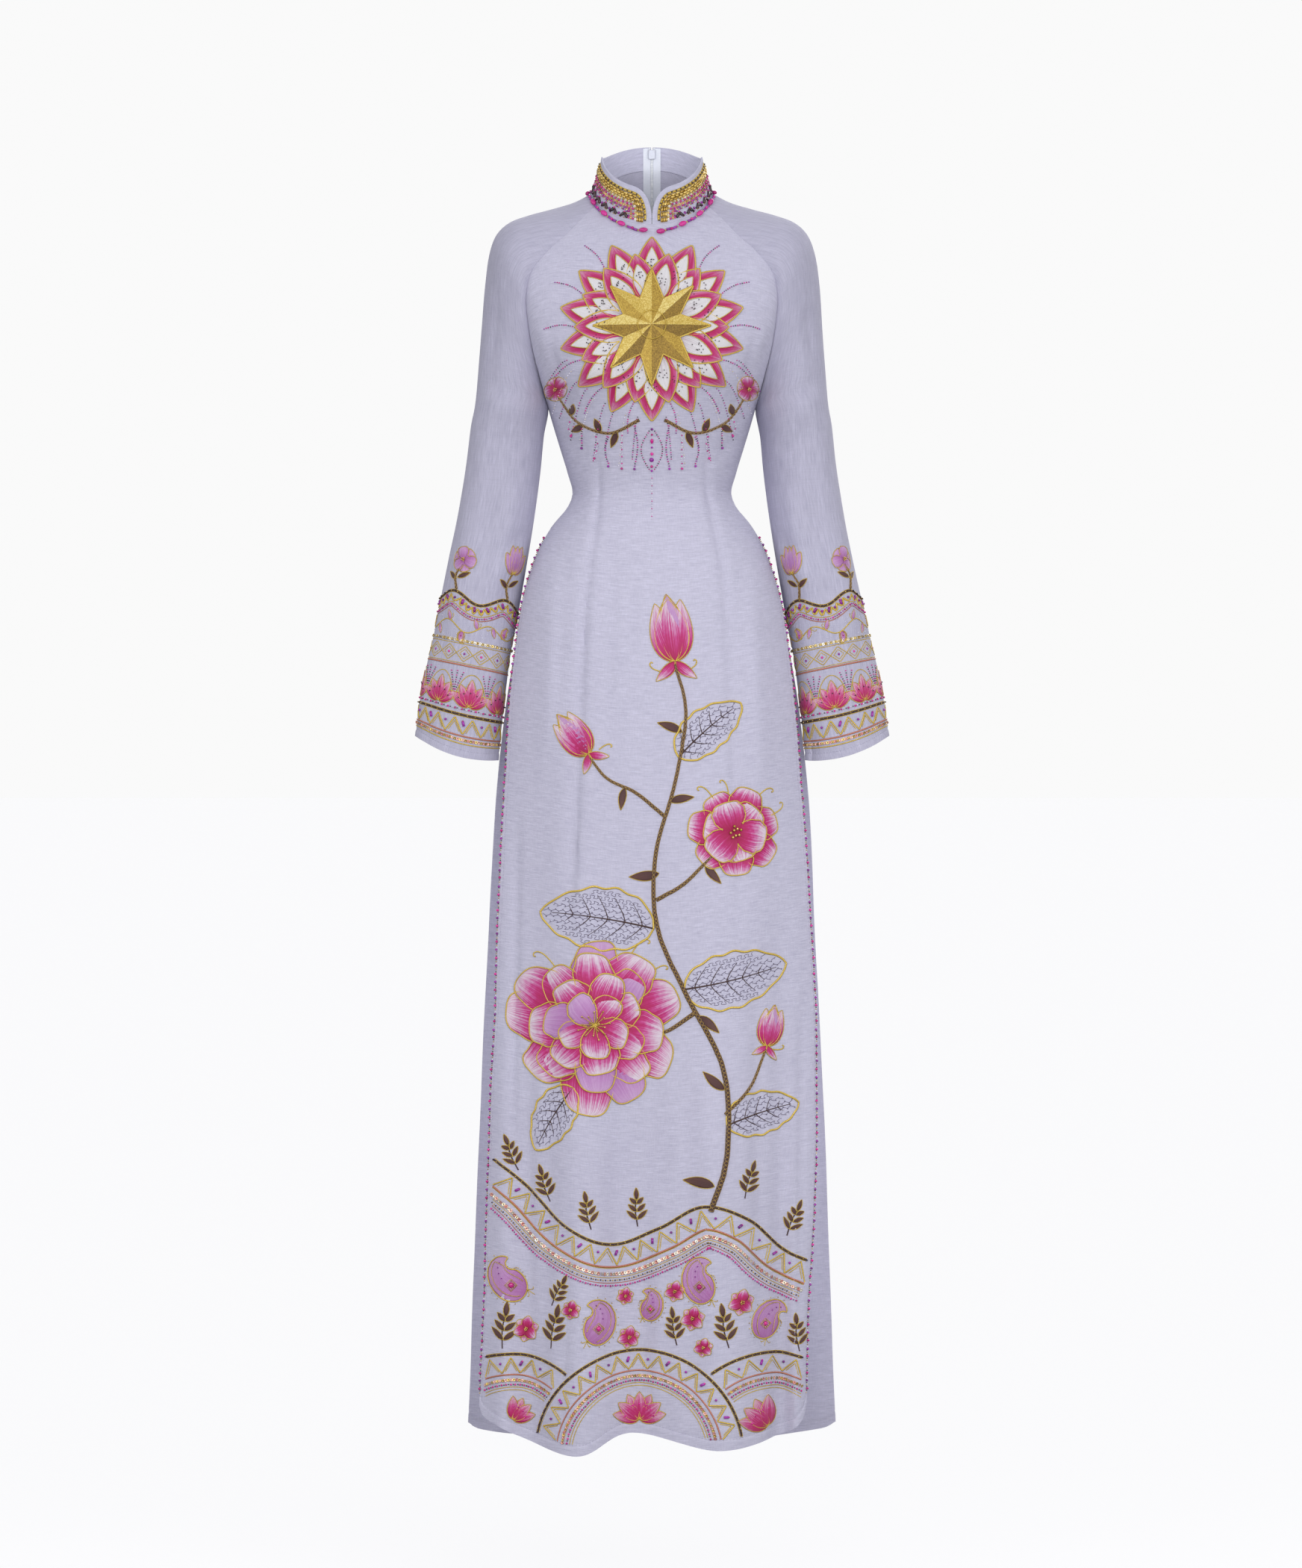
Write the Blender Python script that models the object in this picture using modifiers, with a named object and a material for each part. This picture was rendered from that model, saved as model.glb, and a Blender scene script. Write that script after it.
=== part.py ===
"""An ao dai tunic, worn and hollow: front, two backs, raglan sleeves, stand collar and back zip.

Z is up, the front faces -Y and the wearer's left is at +X. The origin is at the middle of the
neck, level with the shoulders. The tables are in millimetres, a row for each section of a piece,
and MM turns them into Blender's metres.
"""

from collections import namedtuple
from math import asin, cos, exp, pi, radians, sin

import bmesh
import bpy
from mathutils import Matrix, Vector

MM = 0.001
CLOTH = 1.2  # thickness of one wall of cloth with its hem and seam turnings
COLLAR_CLOTH = 1.8  # two layers with a stiff layer between
SEAM_GAP = 0.3

# Neck seam: an oval that dips at the front and climbs at the back.
NECK_HALF_WIDTH = 67.0
NECK_HALF_DEPTH = 58.0
NECK_LEVEL = -2.0
NECK_DIP = 36.0
NECK_SIDE_RISE = 5.0
NECK_BACK_POWER = 1.6  # how late the seam climbs towards the centre back
RAGLAN_FRONT = 67.5  # degrees round the neck from the centre front to the front raglan seam
RAGLAN_BACK = 115.0

# Stand collar.
COLLAR_TOP_HALF_WIDTH = 57.0
COLLAR_TOP_HALF_DEPTH = 52.0
COLLAR_TOP_SHIFT = 2.0
COLLAR_HEIGHT = 41.0
COLLAR_BACK_HEIGHT = 26.0
COLLAR_BACK_EASE = 1.7
COLLAR_ROUND = 24.0  # degrees over which the front corner is rounded away
COLLAR_ROUND_POWER = 2.5
COLLAR_FRONT_START = 0.35  # degrees from the centre front to the first upright edge
COLLAR_BACK_END = 0.95  # half the opening at the centre back, where the zip's slider passes

FRONT_COLUMNS = 24
BACK_COLUMNS = 10
SLEEVE_COLUMNS = 18
COLLAR_COLUMNS = 20
COLLAR_ROWS = 3
COLLAR_COLUMN_POWER = 1.35  # above 1, the collar's columns stand closer at the rounded front
SHARP_ANGLE = 50.0  # degrees between two faces from which their edge looks sharp

# The yoke, from the neck down to the underarm. front and back are the raglan seams on the
# wearer's left, ridge is the line over the shoulder, wrap is the sleeve's arc at a seam in
# degrees from the inside of the arm, and chest and spine are the middle lines.
YokeRow = namedtuple("YokeRow", "front back ridge wrap chest spine turn")
YOKE = [
    YokeRow((61.9, -22.2, -11), (60.7, 24.5, 11), (67, 0, 3), 125, (-58, -38), (58, 34), 67.5),
    YokeRow((78, -41, -28), (78, 43, -9), (88, 1, -8.5), 112, (-66, -57), (70, 10), 70),
    YokeRow((95, -54, -47), (97, 57, -31), (113, 2, -15.5), 101, (-74, -75), (82, -16), 73),
    YokeRow((120, -65, -71), (121, 71, -64), (141, 2, -23), 90, (-84, -98), (93, -48), 76),
    YokeRow((137, -67, -94), (135, 77, -95), (162, 1, -31.5), 82, (-91, -117), (99, -75), 79),
    YokeRow((142, -65, -120), (140, 76, -122), (176.5, 0, -45), 77, (-97, -135), (102, -100), 82),
    YokeRow((140, -59, -148), (139, 68, -150), (185.5, 0, -68), 70, (-103, -154), (102, -127), 84),
    YokeRow((135.5, -49, -176), (135, 56, -178), (190, 0, -101), 58, (-108, -176), (99, -157), 86),
    YokeRow((128, -32, -206), (128, 38, -207), (193.5, 0, -145), 40, (-111, -200), (95, -190), 88),
    YokeRow((121, -12, -232), (121, 18, -232), (197, 0, -193), 17, (-111, -225), (90, -221), 89),
    YokeRow((118, 3, -243), (118, 3, -243), (199.5, 0, -233), 0, (-110, -243), (87, -243), 90),
]

WIDEST_YOKE_ROW = 5

# The closed torso below the underarm, down to the top of the side slits.
TorsoRow = namedtuple("TorsoRow", "z half_width side_y front_y back_y")
TORSO = [
    TorsoRow(-262, 112.5, 3, -106, 84),
    TorsoRow(-290, 104, 2, -96, 76),
    TorsoRow(-318, 95.5, 1, -87, 70),
    TorsoRow(-340, 90.5, 0, -83, 67),
    TorsoRow(-354, 95, 0, -84, 69),
    TorsoRow(-372, 110, 1, -88, 75),
]

# The front and back panels that hang free below the slits, at their nominal heights.
PANEL_HEM = -1400.0
PanelRow = namedtuple("PanelRow", "z right left edge_y middle_y flat")
FRONT_PANEL = [
    PanelRow(-398, -125, 125, -12, -95, 0.10),
    PanelRow(-430, -137, 137, -24, -101, 0.25),
    PanelRow(-471, -148, 148, -33, -107, 0.45),
    PanelRow(-520, -155, 155, -38, -110, 0.65),
    PanelRow(-590, -162, 162, -44, -112, 0.80),
    PanelRow(-670, -167, 168, -49, -113, 0.90),
    PanelRow(-760, -171, 175, -54, -113, 1.0),
    PanelRow(-850, -174.5, 180, -58, -114, 1.0),
    PanelRow(-940, -177, 185, -61, -115, 1.0),
    PanelRow(-1030, -181, 186, -64, -117, 1.0),
    PanelRow(-1120, -184.5, 185, -66, -118, 1.0),
    PanelRow(-1205, -188, 182, -68, -120, 1.0),
    PanelRow(-1285, -190, 178, -70, -122, 1.0),
    PanelRow(-1350, -193, 176, -71, -123, 1.0),
    PanelRow(-1400, -195, 175, -72, -124, 1.0),
]
BACK_PANEL = [
    PanelRow(-398, -124, 124, 14, 86, 0.10),
    PanelRow(-430, -138, 138, 28, 97, 0.25),
    PanelRow(-471, -149, 149, 38, 106, 0.45),
    PanelRow(-520, -158, 158, 44, 110, 0.65),
    PanelRow(-590, -169, 169, 50, 112, 0.80),
    PanelRow(-670, -178, 178, 54, 111, 0.90),
    PanelRow(-760, -184, 184, 57, 109, 1.0),
    PanelRow(-850, -188, 188, 60, 108, 1.0),
    PanelRow(-940, -193, 193, 62, 108, 1.0),
    PanelRow(-1030, -197, 197, 64, 109, 1.0),
    PanelRow(-1120, -201, 201, 66, 110, 1.0),
    PanelRow(-1205, -204, 204, 68, 111, 1.0),
    PanelRow(-1285, -207, 207, 69, 112, 1.0),
    PanelRow(-1350, -209, 209, 70, 113, 1.0),
    PanelRow(-1400, -211, 211, 70, 114, 1.0),
]
PANEL_CURVE = 2.6  # how late a hanging panel turns back towards its side edges

# The hems' own heights across the panel, from the wearer's right edge (-1) to the left edge (1).
HemPoint = namedtuple("HemPoint", "across z")
FRONT_HEM = [
    HemPoint(-1.0, -1371), HemPoint(-0.92, -1388), HemPoint(-0.42, -1421), HemPoint(-0.08, -1397),
    HemPoint(0.45, -1415), HemPoint(0.85, -1400), HemPoint(0.97, -1386), HemPoint(1.0, -1366),
]
BACK_HEM = [
    HemPoint(-1.0, -1404), HemPoint(-0.9, -1414), HemPoint(-0.45, -1426), HemPoint(0.0, -1416),
    HemPoint(0.5, -1427), HemPoint(0.9, -1413), HemPoint(1.0, -1403),
]

# Largest folds of the panels. Each is a soft ridge (depth above 0) or trough that runs from
# (x_top, z_top), where it begins, to x_hem at the hem, where it stands out by its full depth.
Fold = namedtuple("Fold", "x_top z_top x_hem width depth")
FRONT_FOLDS = [
    Fold(-84, -430, -80, 46, 16),
    Fold(-120, -560, -132, 24, -9),
    Fold(-10, -620, -18, 42, -15),
    Fold(70, -520, 84, 44, 14),
    Fold(143, -660, 146, 16, -12),
    Fold(160, -980, 162, 14, 7),
    Fold(-160, -640, -168, 18, 8),
]
BACK_FOLDS = [
    Fold(-110, -470, -118, 44, 17),
    Fold(-58, -560, -62, 26, -10),
    Fold(-30, -700, -24, 24, 7),
    Fold(46, -520, 52, 40, 16),
    Fold(104, -600, 98, 26, -12),
    Fold(152, -560, 150, 30, 12),
    Fold(-168, -700, -170, 20, -8),
]

# Soft swelling that the front's darts give over the bust, one each side.
Swell = namedtuple("Swell", "x z width height depth")
BUST = Swell(68, -202, 44, 44, 21)

# The sleeve from the underarm to the cuff, on the wearer's left: inner is on the underarm seam.
SleeveRow = namedtuple("SleeveRow", "inner outer centre_y half_depth")
UNDERARM_HALF_DEPTH = 52.0
SLEEVE = [
    SleeveRow((122.5, -270), (204, -260), 2, 50.5),
    SleeveRow((126.5, -312), (209, -300), 3, 48),
    SleeveRow((131.5, -352), (215, -340), 3, 46),
    SleeveRow((137.5, -392), (221.5, -380), 3, 44),
    SleeveRow((144.5, -434), (230, -420), 1, 42.5),
    SleeveRow((152.5, -480), (240, -462), -3, 41),
    SleeveRow((160.5, -522), (249, -504), -7, 40),
    SleeveRow((166, -564), (258, -544), -10, 39),
    SleeveRow((170.5, -604), (265, -580), -13, 38),
    SleeveRow((174, -643), (270, -615), -16, 37.5),
]
CUFF_DIP = (0.0, 3.0, 9.0)  # how far the last sections hang lower at the front and back

# Centre-back zip: two tapes and a strip of coil on the inner faces, a slider and its pull tab.
ZIP_END = -430.0
ZIP_GAP = 0.5
NEAR_MIDDLE = 0.08  # a place across the back near enough to its middle to be almost straight
TAPE_INNER, TAPE_OUTER, TAPE_CLOTH = 2.6, 9.8, 0.8
COIL_HALF_WIDTH, COIL_THICK = 2.3, 1.6
SLIDER_SHARE = 0.70  # of the way up the collar
PULL_OFF = 1.9  # from the collar's outer face to the pull's hinge
BRIDGE_RADIUS, BRIDGE_HOLE, BRIDGE_THICK = 2.2, 1.05, 1.2
HOLE_CUTTER = 3.6  # length of the hole's cutter, longer than the bridge is thick
SLIDER_SIZE = (8.4, 3.0, 11.0)
SLIDER_BEVEL = 0.8
SLIDER_BEVEL_SEGMENTS = 2
COIL_UNDER_SLIDER = 6.2
COIL_FIRST_STEP = 1.0
DISC_SIDES = 24
PULL_BAR, PULL_THICK = 1.1, 1.0
PULL_WINDOW_HALF_WIDTH, PULL_WINDOW_END = 1.05, 2.65
PULL_SHOULDER = 3.65  # from the hinge down to where the tab's sides begin to spread
PULL_TOP_HALF_WIDTH, PULL_BOTTOM_RADIUS, PULL_LENGTH = 2.2, 3.6, 22.0
PULL_ARC_STEPS = 10

LAVENDER = (0.47, 0.46, 0.62, 1.0)
SLEEVE_LAVENDER = (0.44, 0.42, 0.60, 1.0)
TAPE_WHITE = (0.66, 0.67, 0.76, 1.0)
NICKEL = (0.74, 0.74, 0.76, 1.0)
CLOTH_ROUGHNESS, TAPE_ROUGHNESS, METAL_ROUGHNESS = 0.85, 0.7, 0.3

# Rough directions out of a surface's first face, at the top of each piece.
OUT_FRONT = Vector((0, -1, 0.3))
OUT_BACK = Vector((0, 1, 0.3))
OUT_SHOULDER = Vector((0, -0.4, 1))


def clear_scene():
    for obj in list(bpy.data.objects):
        bpy.data.objects.remove(obj, do_unlink=True)


def collection(name):
    made = bpy.data.collections.new(name)
    bpy.context.scene.collection.children.link(made)
    return made


def material(name, colour, roughness, metallic=0.0):
    made = bpy.data.materials.new(name)
    made.use_nodes = True
    shader = made.node_tree.nodes["Principled BSDF"]
    shader.inputs["Base Color"].default_value = colour
    shader.inputs["Roughness"].default_value = roughness
    shader.inputs["Metallic"].default_value = metallic
    return made


def mix(a, b, share):
    return a + (b - a) * share


def smooth_step(share):
    share = min(max(share, 0.0), 1.0)
    return share * share * (3 - 2 * share)


def neck_point(degrees):
    """A point of the neck seam, so many degrees round from the centre front to the left."""
    turn = radians(degrees)
    fall = cos(turn) if cos(turn) > 0 else -abs(cos(turn)) ** NECK_BACK_POWER
    return Vector((
        NECK_HALF_WIDTH * sin(turn),
        -NECK_HALF_DEPTH * cos(turn),
        NECK_LEVEL - NECK_DIP * fall + NECK_SIDE_RISE * sin(turn) ** 2,
    ))


def full_collar_height(degrees):
    behind = 1 - (1 - max(0.0, degrees / 90 - 1)) ** COLLAR_BACK_EASE
    return mix(COLLAR_HEIGHT, COLLAR_BACK_HEIGHT, behind)


def collar_height(degrees):
    """The collar's height: level at the sides, lower at the back, rounded off at the front."""
    left = max(0.0, 1 - degrees / COLLAR_ROUND)
    rounded = (1 - left**COLLAR_ROUND_POWER) ** (1 / COLLAR_ROUND_POWER)
    return full_collar_height(degrees) * rounded


def collar_point(degrees, up):
    """A point of the collar's outer face, up from 0 at the neck seam to 1 at the top edge."""
    turn = radians(degrees)
    base = neck_point(degrees) + Vector((0, 0, SEAM_GAP))
    full = full_collar_height(degrees)
    top = Vector((
        COLLAR_TOP_HALF_WIDTH * sin(turn),
        COLLAR_TOP_SHIFT - COLLAR_TOP_HALF_DEPTH * cos(turn),
        base.z + full,
    ))
    return base.lerp(top, up * collar_height(degrees) / full)


def section_point(right, left, edge, middle, turn, flat, across):
    """A point of a section across a panel, from across -1 at the right edge to 1 at the left.

    edge and middle are (y, z). turn is the section's half arc in degrees, and flat goes from 0,
    an oval that closes round the body, to 1, a hanging panel whose sides only curve back.
    """
    angle = radians(turn) * across
    arc_x = sin(angle) / sin(radians(turn))
    arc_y = (cos(angle) - cos(radians(turn))) / (1 - cos(radians(turn)))
    hung_y = 1 - abs(across) ** PANEL_CURVE
    share_x = mix(arc_x, across, flat)
    share_y = mix(arc_y, hung_y, flat)
    x = (left + right) / 2 + (left - right) / 2 * share_x
    return Vector((x, mix(edge[0], middle[0], share_y), mix(edge[1], middle[1], share_y)))


def hem_height(hem, across):
    for before, after in zip(hem, hem[1:]):
        if across <= after.across:
            share = (across - before.across) / (after.across - before.across)
            return mix(before.z, after.z, smooth_step(share))
    return hem[-1].z


def fold_depth(folds, point):
    """How far the folds move a point of a panel outwards."""
    total = 0.0
    for fold in folds:
        down = (fold.z_top - point.z) / (fold.z_top - PANEL_HEM)
        if down <= 0:
            continue
        line = mix(fold.x_top, fold.x_hem, down)
        away = (point.x - line) / fold.width
        total += fold.depth * smooth_step(down) * exp(-away * away)
    return total


def bust_depth(point):
    """How far the bust darts' fullness stands out at a point of the front."""
    total = 0.0
    for side in (-1, 1):
        x = (point.x - side * BUST.x) / BUST.width
        z = (point.z - BUST.z) / BUST.height
        total += BUST.depth * exp(-x * x - z * z)
    return total


def yoke_section(row, index, facing, across):
    """A point of the front (facing -1) or back (facing 1) above the underarm."""
    if index == 0:
        degrees = RAGLAN_FRONT if facing < 0 else 180 - RAGLAN_BACK
        ring = neck_point(degrees * across)
        if facing > 0:
            ring = neck_point(180 - degrees * across)
        return ring
    seam = row.front if facing < 0 else row.back
    middle = row.chest if facing < 0 else row.spine
    return section_point(-seam[0], seam[0], seam[1:], middle, row.turn, 0.0, across)


def body_rows(facing, across):
    """Every row's point of the front or back, from the neck to the hem, at one place across."""
    points = [yoke_section(row, i, facing, across) for i, row in enumerate(YOKE)]
    for row in TORSO:
        middle = (row.front_y if facing < 0 else row.back_y, row.z)
        edge = (row.side_y, row.z)
        points.append(section_point(-row.half_width, row.half_width, edge, middle, 90, 0.0, across))
    panel = FRONT_PANEL if facing < 0 else BACK_PANEL
    hem = FRONT_HEM if facing < 0 else BACK_HEM
    folds = FRONT_FOLDS if facing < 0 else BACK_FOLDS
    slit = TORSO[-1].z
    for row in panel:
        point = section_point(
            row.right, row.left, (row.edge_y, row.z), (row.middle_y, row.z), 90, row.flat, across
        )
        point.y += facing * fold_depth(folds, point)
        share = (slit - row.z) / (slit - PANEL_HEM)
        point.z = mix(slit, hem_height(hem, across), share)
        points.append(point)
    for point in points:
        point.y += facing * SEAM_GAP / 2
        if facing < 0:
            point.y -= bust_depth(point)
    return points


def sleeve_cap_row(row, index, share):
    """A point of the sleeve above the underarm, share 0 on the front seam and 1 on the back."""
    if index == 0:
        return neck_point(mix(RAGLAN_FRONT, RAGLAN_BACK, share))
    front, back, ridge = Vector(row.front), Vector(row.back), Vector(row.ridge)
    chord = (back - front) / 2
    middle = (front + back) / 2
    wrap = radians(row.wrap)
    if chord.length > 0:
        depth = chord.normalized() * (chord.length / sin(wrap))
    else:
        depth = Vector((0, UNDERARM_HALF_DEPTH, 0))
    out = (ridge - middle) / (1 + cos(wrap))
    angle = mix(wrap, 2 * pi - wrap, share)
    return middle + out * (cos(wrap) - cos(angle)) - depth * sin(angle)


def sleeve_tube_row(row, dip, share):
    """A point of the closed sleeve below the underarm."""
    inner = Vector((row.inner[0], row.centre_y, row.inner[1]))
    outer = Vector((row.outer[0], row.centre_y, row.outer[1]))
    angle = 2 * pi * share
    out = (outer - inner) / 2
    lowered = Vector((0, row.half_depth * sin(angle), dip * sin(angle) ** 2))
    return inner + out * (1 - cos(angle)) - lowered


def grid_object(name, rows, target, finish, closed_from=None):
    """An open surface through rows of points, in millimetres, as one object.

    From the row closed_from on, the last column is the first one again, as in a tube.
    """
    mesh = bmesh.new()
    made = []
    for i, row in enumerate(rows):
        vertices = [mesh.verts.new(point * MM) for point in row]
        if closed_from is not None and i >= closed_from:
            mesh.verts.remove(vertices[-1])
            vertices[-1] = vertices[0]
        made.append(vertices)
    for upper, lower in zip(made, made[1:]):
        for j in range(len(upper) - 1):
            mesh.faces.new((upper[j], lower[j], lower[j + 1], upper[j + 1]))
    data = bpy.data.meshes.new(name)
    mesh.to_mesh(data)
    mesh.free()
    data.materials.append(finish)
    obj = bpy.data.objects.new(name, data)
    target.objects.link(obj)
    return obj


def face_outwards(obj, outward):
    """Turns the surface over if its first face looks against the outward direction."""
    if obj.data.polygons[0].normal.dot(outward) < 0:
        obj.data.flip_normals()


def solidify(obj, thickness):
    """Gives the surface its wall, on the inner side of its faces."""
    wall = obj.modifiers.new("wall", "SOLIDIFY")
    wall.thickness = thickness * MM
    wall.offset = -1
    wall.use_even_offset = True
    obj.data.shade_smooth()
    obj.data.set_sharp_from_angle(angle=radians(SHARP_ANGLE))


def body_grid(facing, start, end, columns):
    """Rows of points of the front or back between two places across it."""
    columns_of_points = []
    for j in range(columns + 1):
        columns_of_points.append(body_rows(facing, mix(start, end, j / columns)))
    return [list(row) for row in zip(*columns_of_points)]


def make_front(target, cloth):
    inset = SEAM_GAP / 2 / YOKE[WIDEST_YOKE_ROW].front[0]
    rows = body_grid(-1, -1 + inset, 1 - inset, FRONT_COLUMNS)
    obj = grid_object("front", rows, target, cloth)
    face_outwards(obj, OUT_FRONT)
    solidify(obj, CLOTH)


def make_backs(target, cloth):
    inset = SEAM_GAP / 2 / YOKE[WIDEST_YOKE_ROW].back[0]
    for name, side in (("back_left", 1), ("back_right", -1)):
        rows = body_grid(1, 0.0, side * (1 - inset), BACK_COLUMNS)
        for row in rows:
            row[0].x = side * SEAM_GAP / 2
        obj = grid_object(name, rows, target, cloth)
        face_outwards(obj, OUT_BACK)
        solidify(obj, CLOTH)


def make_sleeves(target, cloth):
    for name, side in (("sleeve_left", 1), ("sleeve_right", -1)):
        rows = []
        shares = [j / SLEEVE_COLUMNS for j in range(SLEEVE_COLUMNS + 1)]
        for i, row in enumerate(YOKE):
            rows.append([sleeve_cap_row(row, i, share) for share in shares])
        dips = [0.0] * (len(SLEEVE) - len(CUFF_DIP)) + list(CUFF_DIP)
        for row, dip in zip(SLEEVE, dips):
            rows.append([sleeve_tube_row(row, dip, share) for share in shares])
        for row in rows:
            for point in row:
                point.x = side * (point.x + SEAM_GAP)
        obj = grid_object(name, rows, target, cloth, closed_from=len(YOKE) - 1)
        face_outwards(obj, OUT_SHOULDER)
        solidify(obj, CLOTH)


def make_collars(target, cloth):
    back_end = 180 - asin(COLLAR_BACK_END / NECK_HALF_WIDTH) * 180 / pi
    for name, side in (("collar_left", 1), ("collar_right", -1)):
        rows = []
        for up in range(COLLAR_ROWS + 1):
            row = []
            for j in range(COLLAR_COLUMNS + 1):
                share = j / COLLAR_COLUMNS
                degrees = mix(COLLAR_FRONT_START, back_end, share**COLLAR_COLUMN_POWER)
                point = collar_point(degrees, 1 - up / COLLAR_ROWS)
                point.x *= side
                row.append(point)
            row[-1].x = side * COLLAR_BACK_END
            rows.append(row)
        obj = grid_object(name, rows, target, cloth)
        face_outwards(obj, OUT_FRONT)
        solidify(obj, COLLAR_CLOTH)


def zip_line(x):
    """The inner line of the back at so much x, as points with their inward normals, downwards.

    It runs down the collar and then the back, clear of the cloth by the seam gap.
    """
    line = []
    degrees = 180 - asin(abs(x) / NECK_HALF_WIDTH) * 180 / pi
    for up in range(COLLAR_ROWS, -1, -1):
        point = collar_point(degrees, up / COLLAR_ROWS)
        line.append((point.y, point.z, COLLAR_CLOTH))
    near = body_rows(1, NEAR_MIDDLE)
    for i, point in enumerate(body_rows(1, 0.0)):
        if point.z < ZIP_END:
            break
        if i > 0:
            share = x / near[i].x
            y = mix(point.y, near[i].y, share * share)
            line.append((y, mix(point.z, near[i].z, share * share), CLOTH))
    moved = []
    for i, (y, z, cloth) in enumerate(line):
        above, below = line[max(i - 1, 0)], line[min(i + 1, len(line) - 1)]
        along = Vector((0, below[0] - above[0], below[1] - above[1])).normalized()
        inward = Vector((0, along.z, -along.y))
        moved.append((Vector((x, y, z)) + inward * (cloth + ZIP_GAP), inward))
    return moved


def strip(name, start, end, thickness, target, finish):
    """A strip of the zip between two lines from zip_line."""
    rows = [[first, last] for (first, _), (last, _) in zip(start, end)]
    obj = grid_object(name, rows, target, finish)
    face_outwards(obj, OUT_BACK)
    solidify(obj, thickness)
    return obj


def slider_frame():
    """Where the pull's hinge is, and the turn of the collar's slope there."""
    base, top = collar_point(180, 0), collar_point(180, 1)
    up = (top - base).normalized()
    out = Vector((0, up.z, -up.y))
    hinge = base.lerp(top, SLIDER_SHARE) + out * PULL_OFF
    turn = Matrix((Vector((1, 0, 0)), out, up)).transposed().to_4x4()
    return hinge, turn


def make_box(name, size, centre, target, finish):
    bpy.ops.mesh.primitive_cube_add(size=1)
    obj = bpy.context.object
    obj.name = name
    obj.data.transform(Matrix.Diagonal((*(s * MM for s in size), 1)))
    obj.data.transform(Matrix.Translation(Vector(centre) * MM))
    move_to(obj, target)
    obj.data.materials.append(finish)
    return obj


def make_disc(name, radius, thickness, target, finish):
    """A disc about the X axis, at the origin of its frame."""
    bpy.ops.mesh.primitive_cylinder_add(vertices=DISC_SIDES, radius=radius * MM, depth=thickness * MM)
    obj = bpy.context.object
    obj.name = name
    obj.data.transform(Matrix.Rotation(pi / 2, 4, "Y"))
    move_to(obj, target)
    obj.data.materials.append(finish)
    return obj


def move_to(obj, target):
    for old in list(obj.users_collection):
        old.objects.unlink(obj)
    target.objects.link(obj)


def boolean(obj, other, operation):
    cut = obj.modifiers.new(operation.lower(), "BOOLEAN")
    cut.operation = operation
    cut.object = other
    other.hide_render = True
    other.display_type = "WIRE"


def make_zip(target, cutters, tape, metal):
    for name, side in (("zip_tape_left", 1), ("zip_tape_right", -1)):
        edges = zip_line(side * TAPE_INNER), zip_line(side * TAPE_OUTER)
        strip(name, *edges, TAPE_CLOTH, target, tape)
    hinge, turn = slider_frame()
    edges = []
    for x in (-COIL_HALF_WIDTH, COIL_HALF_WIDTH):
        line = zip_line(x)
        (top, inward), (lower, _) = line[0], line[1]
        down = (lower - top).normalized()
        start = top + down * ((hinge - top).dot(down) + COIL_UNDER_SLIDER)
        edges.append([(start, inward)] + [row for row in line if row[0].z < start.z - COIL_FIRST_STEP])
    strip("zip_coil", *edges, COIL_THICK, target, tape)

    plate_back = PULL_OFF + COLLAR_CLOTH + ZIP_GAP + TAPE_CLOTH + 2 * SEAM_GAP
    body_y = -plate_back - SLIDER_SIZE[1] / 2
    slider = make_box("zip_slider", SLIDER_SIZE, (0, body_y, 0), target, metal)
    bevel = slider.modifiers.new("round", "BEVEL")
    bevel.width = SLIDER_BEVEL * MM
    bevel.segments = SLIDER_BEVEL_SEGMENTS
    neck_depth = plate_back + SLIDER_SIZE[1] / 2
    neck_size = (BRIDGE_THICK, neck_depth, 2 * BRIDGE_RADIUS)
    neck = make_box("slider_neck", neck_size, (0, -neck_depth / 2, 0), cutters, metal)
    disc = make_disc("slider_disc", BRIDGE_RADIUS, BRIDGE_THICK, cutters, metal)
    hole = make_disc("slider_hole", BRIDGE_HOLE, HOLE_CUTTER, cutters, metal)
    boolean(slider, neck, "UNION")
    boolean(slider, disc, "UNION")
    boolean(slider, hole, "DIFFERENCE")
    frame = Matrix.Translation(hinge * MM) @ turn
    for obj in (slider, neck, disc, hole):
        obj.matrix_world = frame
    make_pull(frame, target, metal)


def pull_outline():
    """The pull tab's outline in its own plane, from the bar at the hinge down to a round end."""
    top = PULL_BAR / 2
    end = -PULL_LENGTH + PULL_BOTTOM_RADIUS
    points = [(-PULL_TOP_HALF_WIDTH, top), (-PULL_TOP_HALF_WIDTH, -PULL_SHOULDER)]
    for i in range(PULL_ARC_STEPS + 1):
        angle = pi + pi * i / PULL_ARC_STEPS
        points.append((PULL_BOTTOM_RADIUS * cos(angle), end + PULL_BOTTOM_RADIUS * sin(angle)))
    points += [(PULL_TOP_HALF_WIDTH, -PULL_SHOULDER), (PULL_TOP_HALF_WIDTH, top)]
    return points


def pull_window():
    top, low, side = -PULL_BAR / 2, -PULL_WINDOW_END, PULL_WINDOW_HALF_WIDTH
    return [(-side, top), (side, top), (side, low), (-side, low)]


def make_pull(frame, target, metal):
    curve = bpy.data.curves.new("zip_pull", "CURVE")
    curve.dimensions = "2D"
    curve.fill_mode = "BOTH"
    curve.extrude = PULL_THICK / 2 * MM
    for outline in (pull_outline(), pull_window()):
        spline = curve.splines.new("POLY")
        spline.points.add(len(outline) - 1)
        for point, (x, y) in zip(spline.points, outline):
            point.co = (x * MM, y * MM, 0, 1)
        spline.use_cyclic_u = True
    curve.materials.append(metal)
    pull = bpy.data.objects.new("zip_pull", curve)
    target.objects.link(pull)
    # The curve's own plane is XY, and the tab hangs in the frame's XZ plane.
    pull.matrix_world = frame @ Matrix.Rotation(pi / 2, 4, "X")


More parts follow.
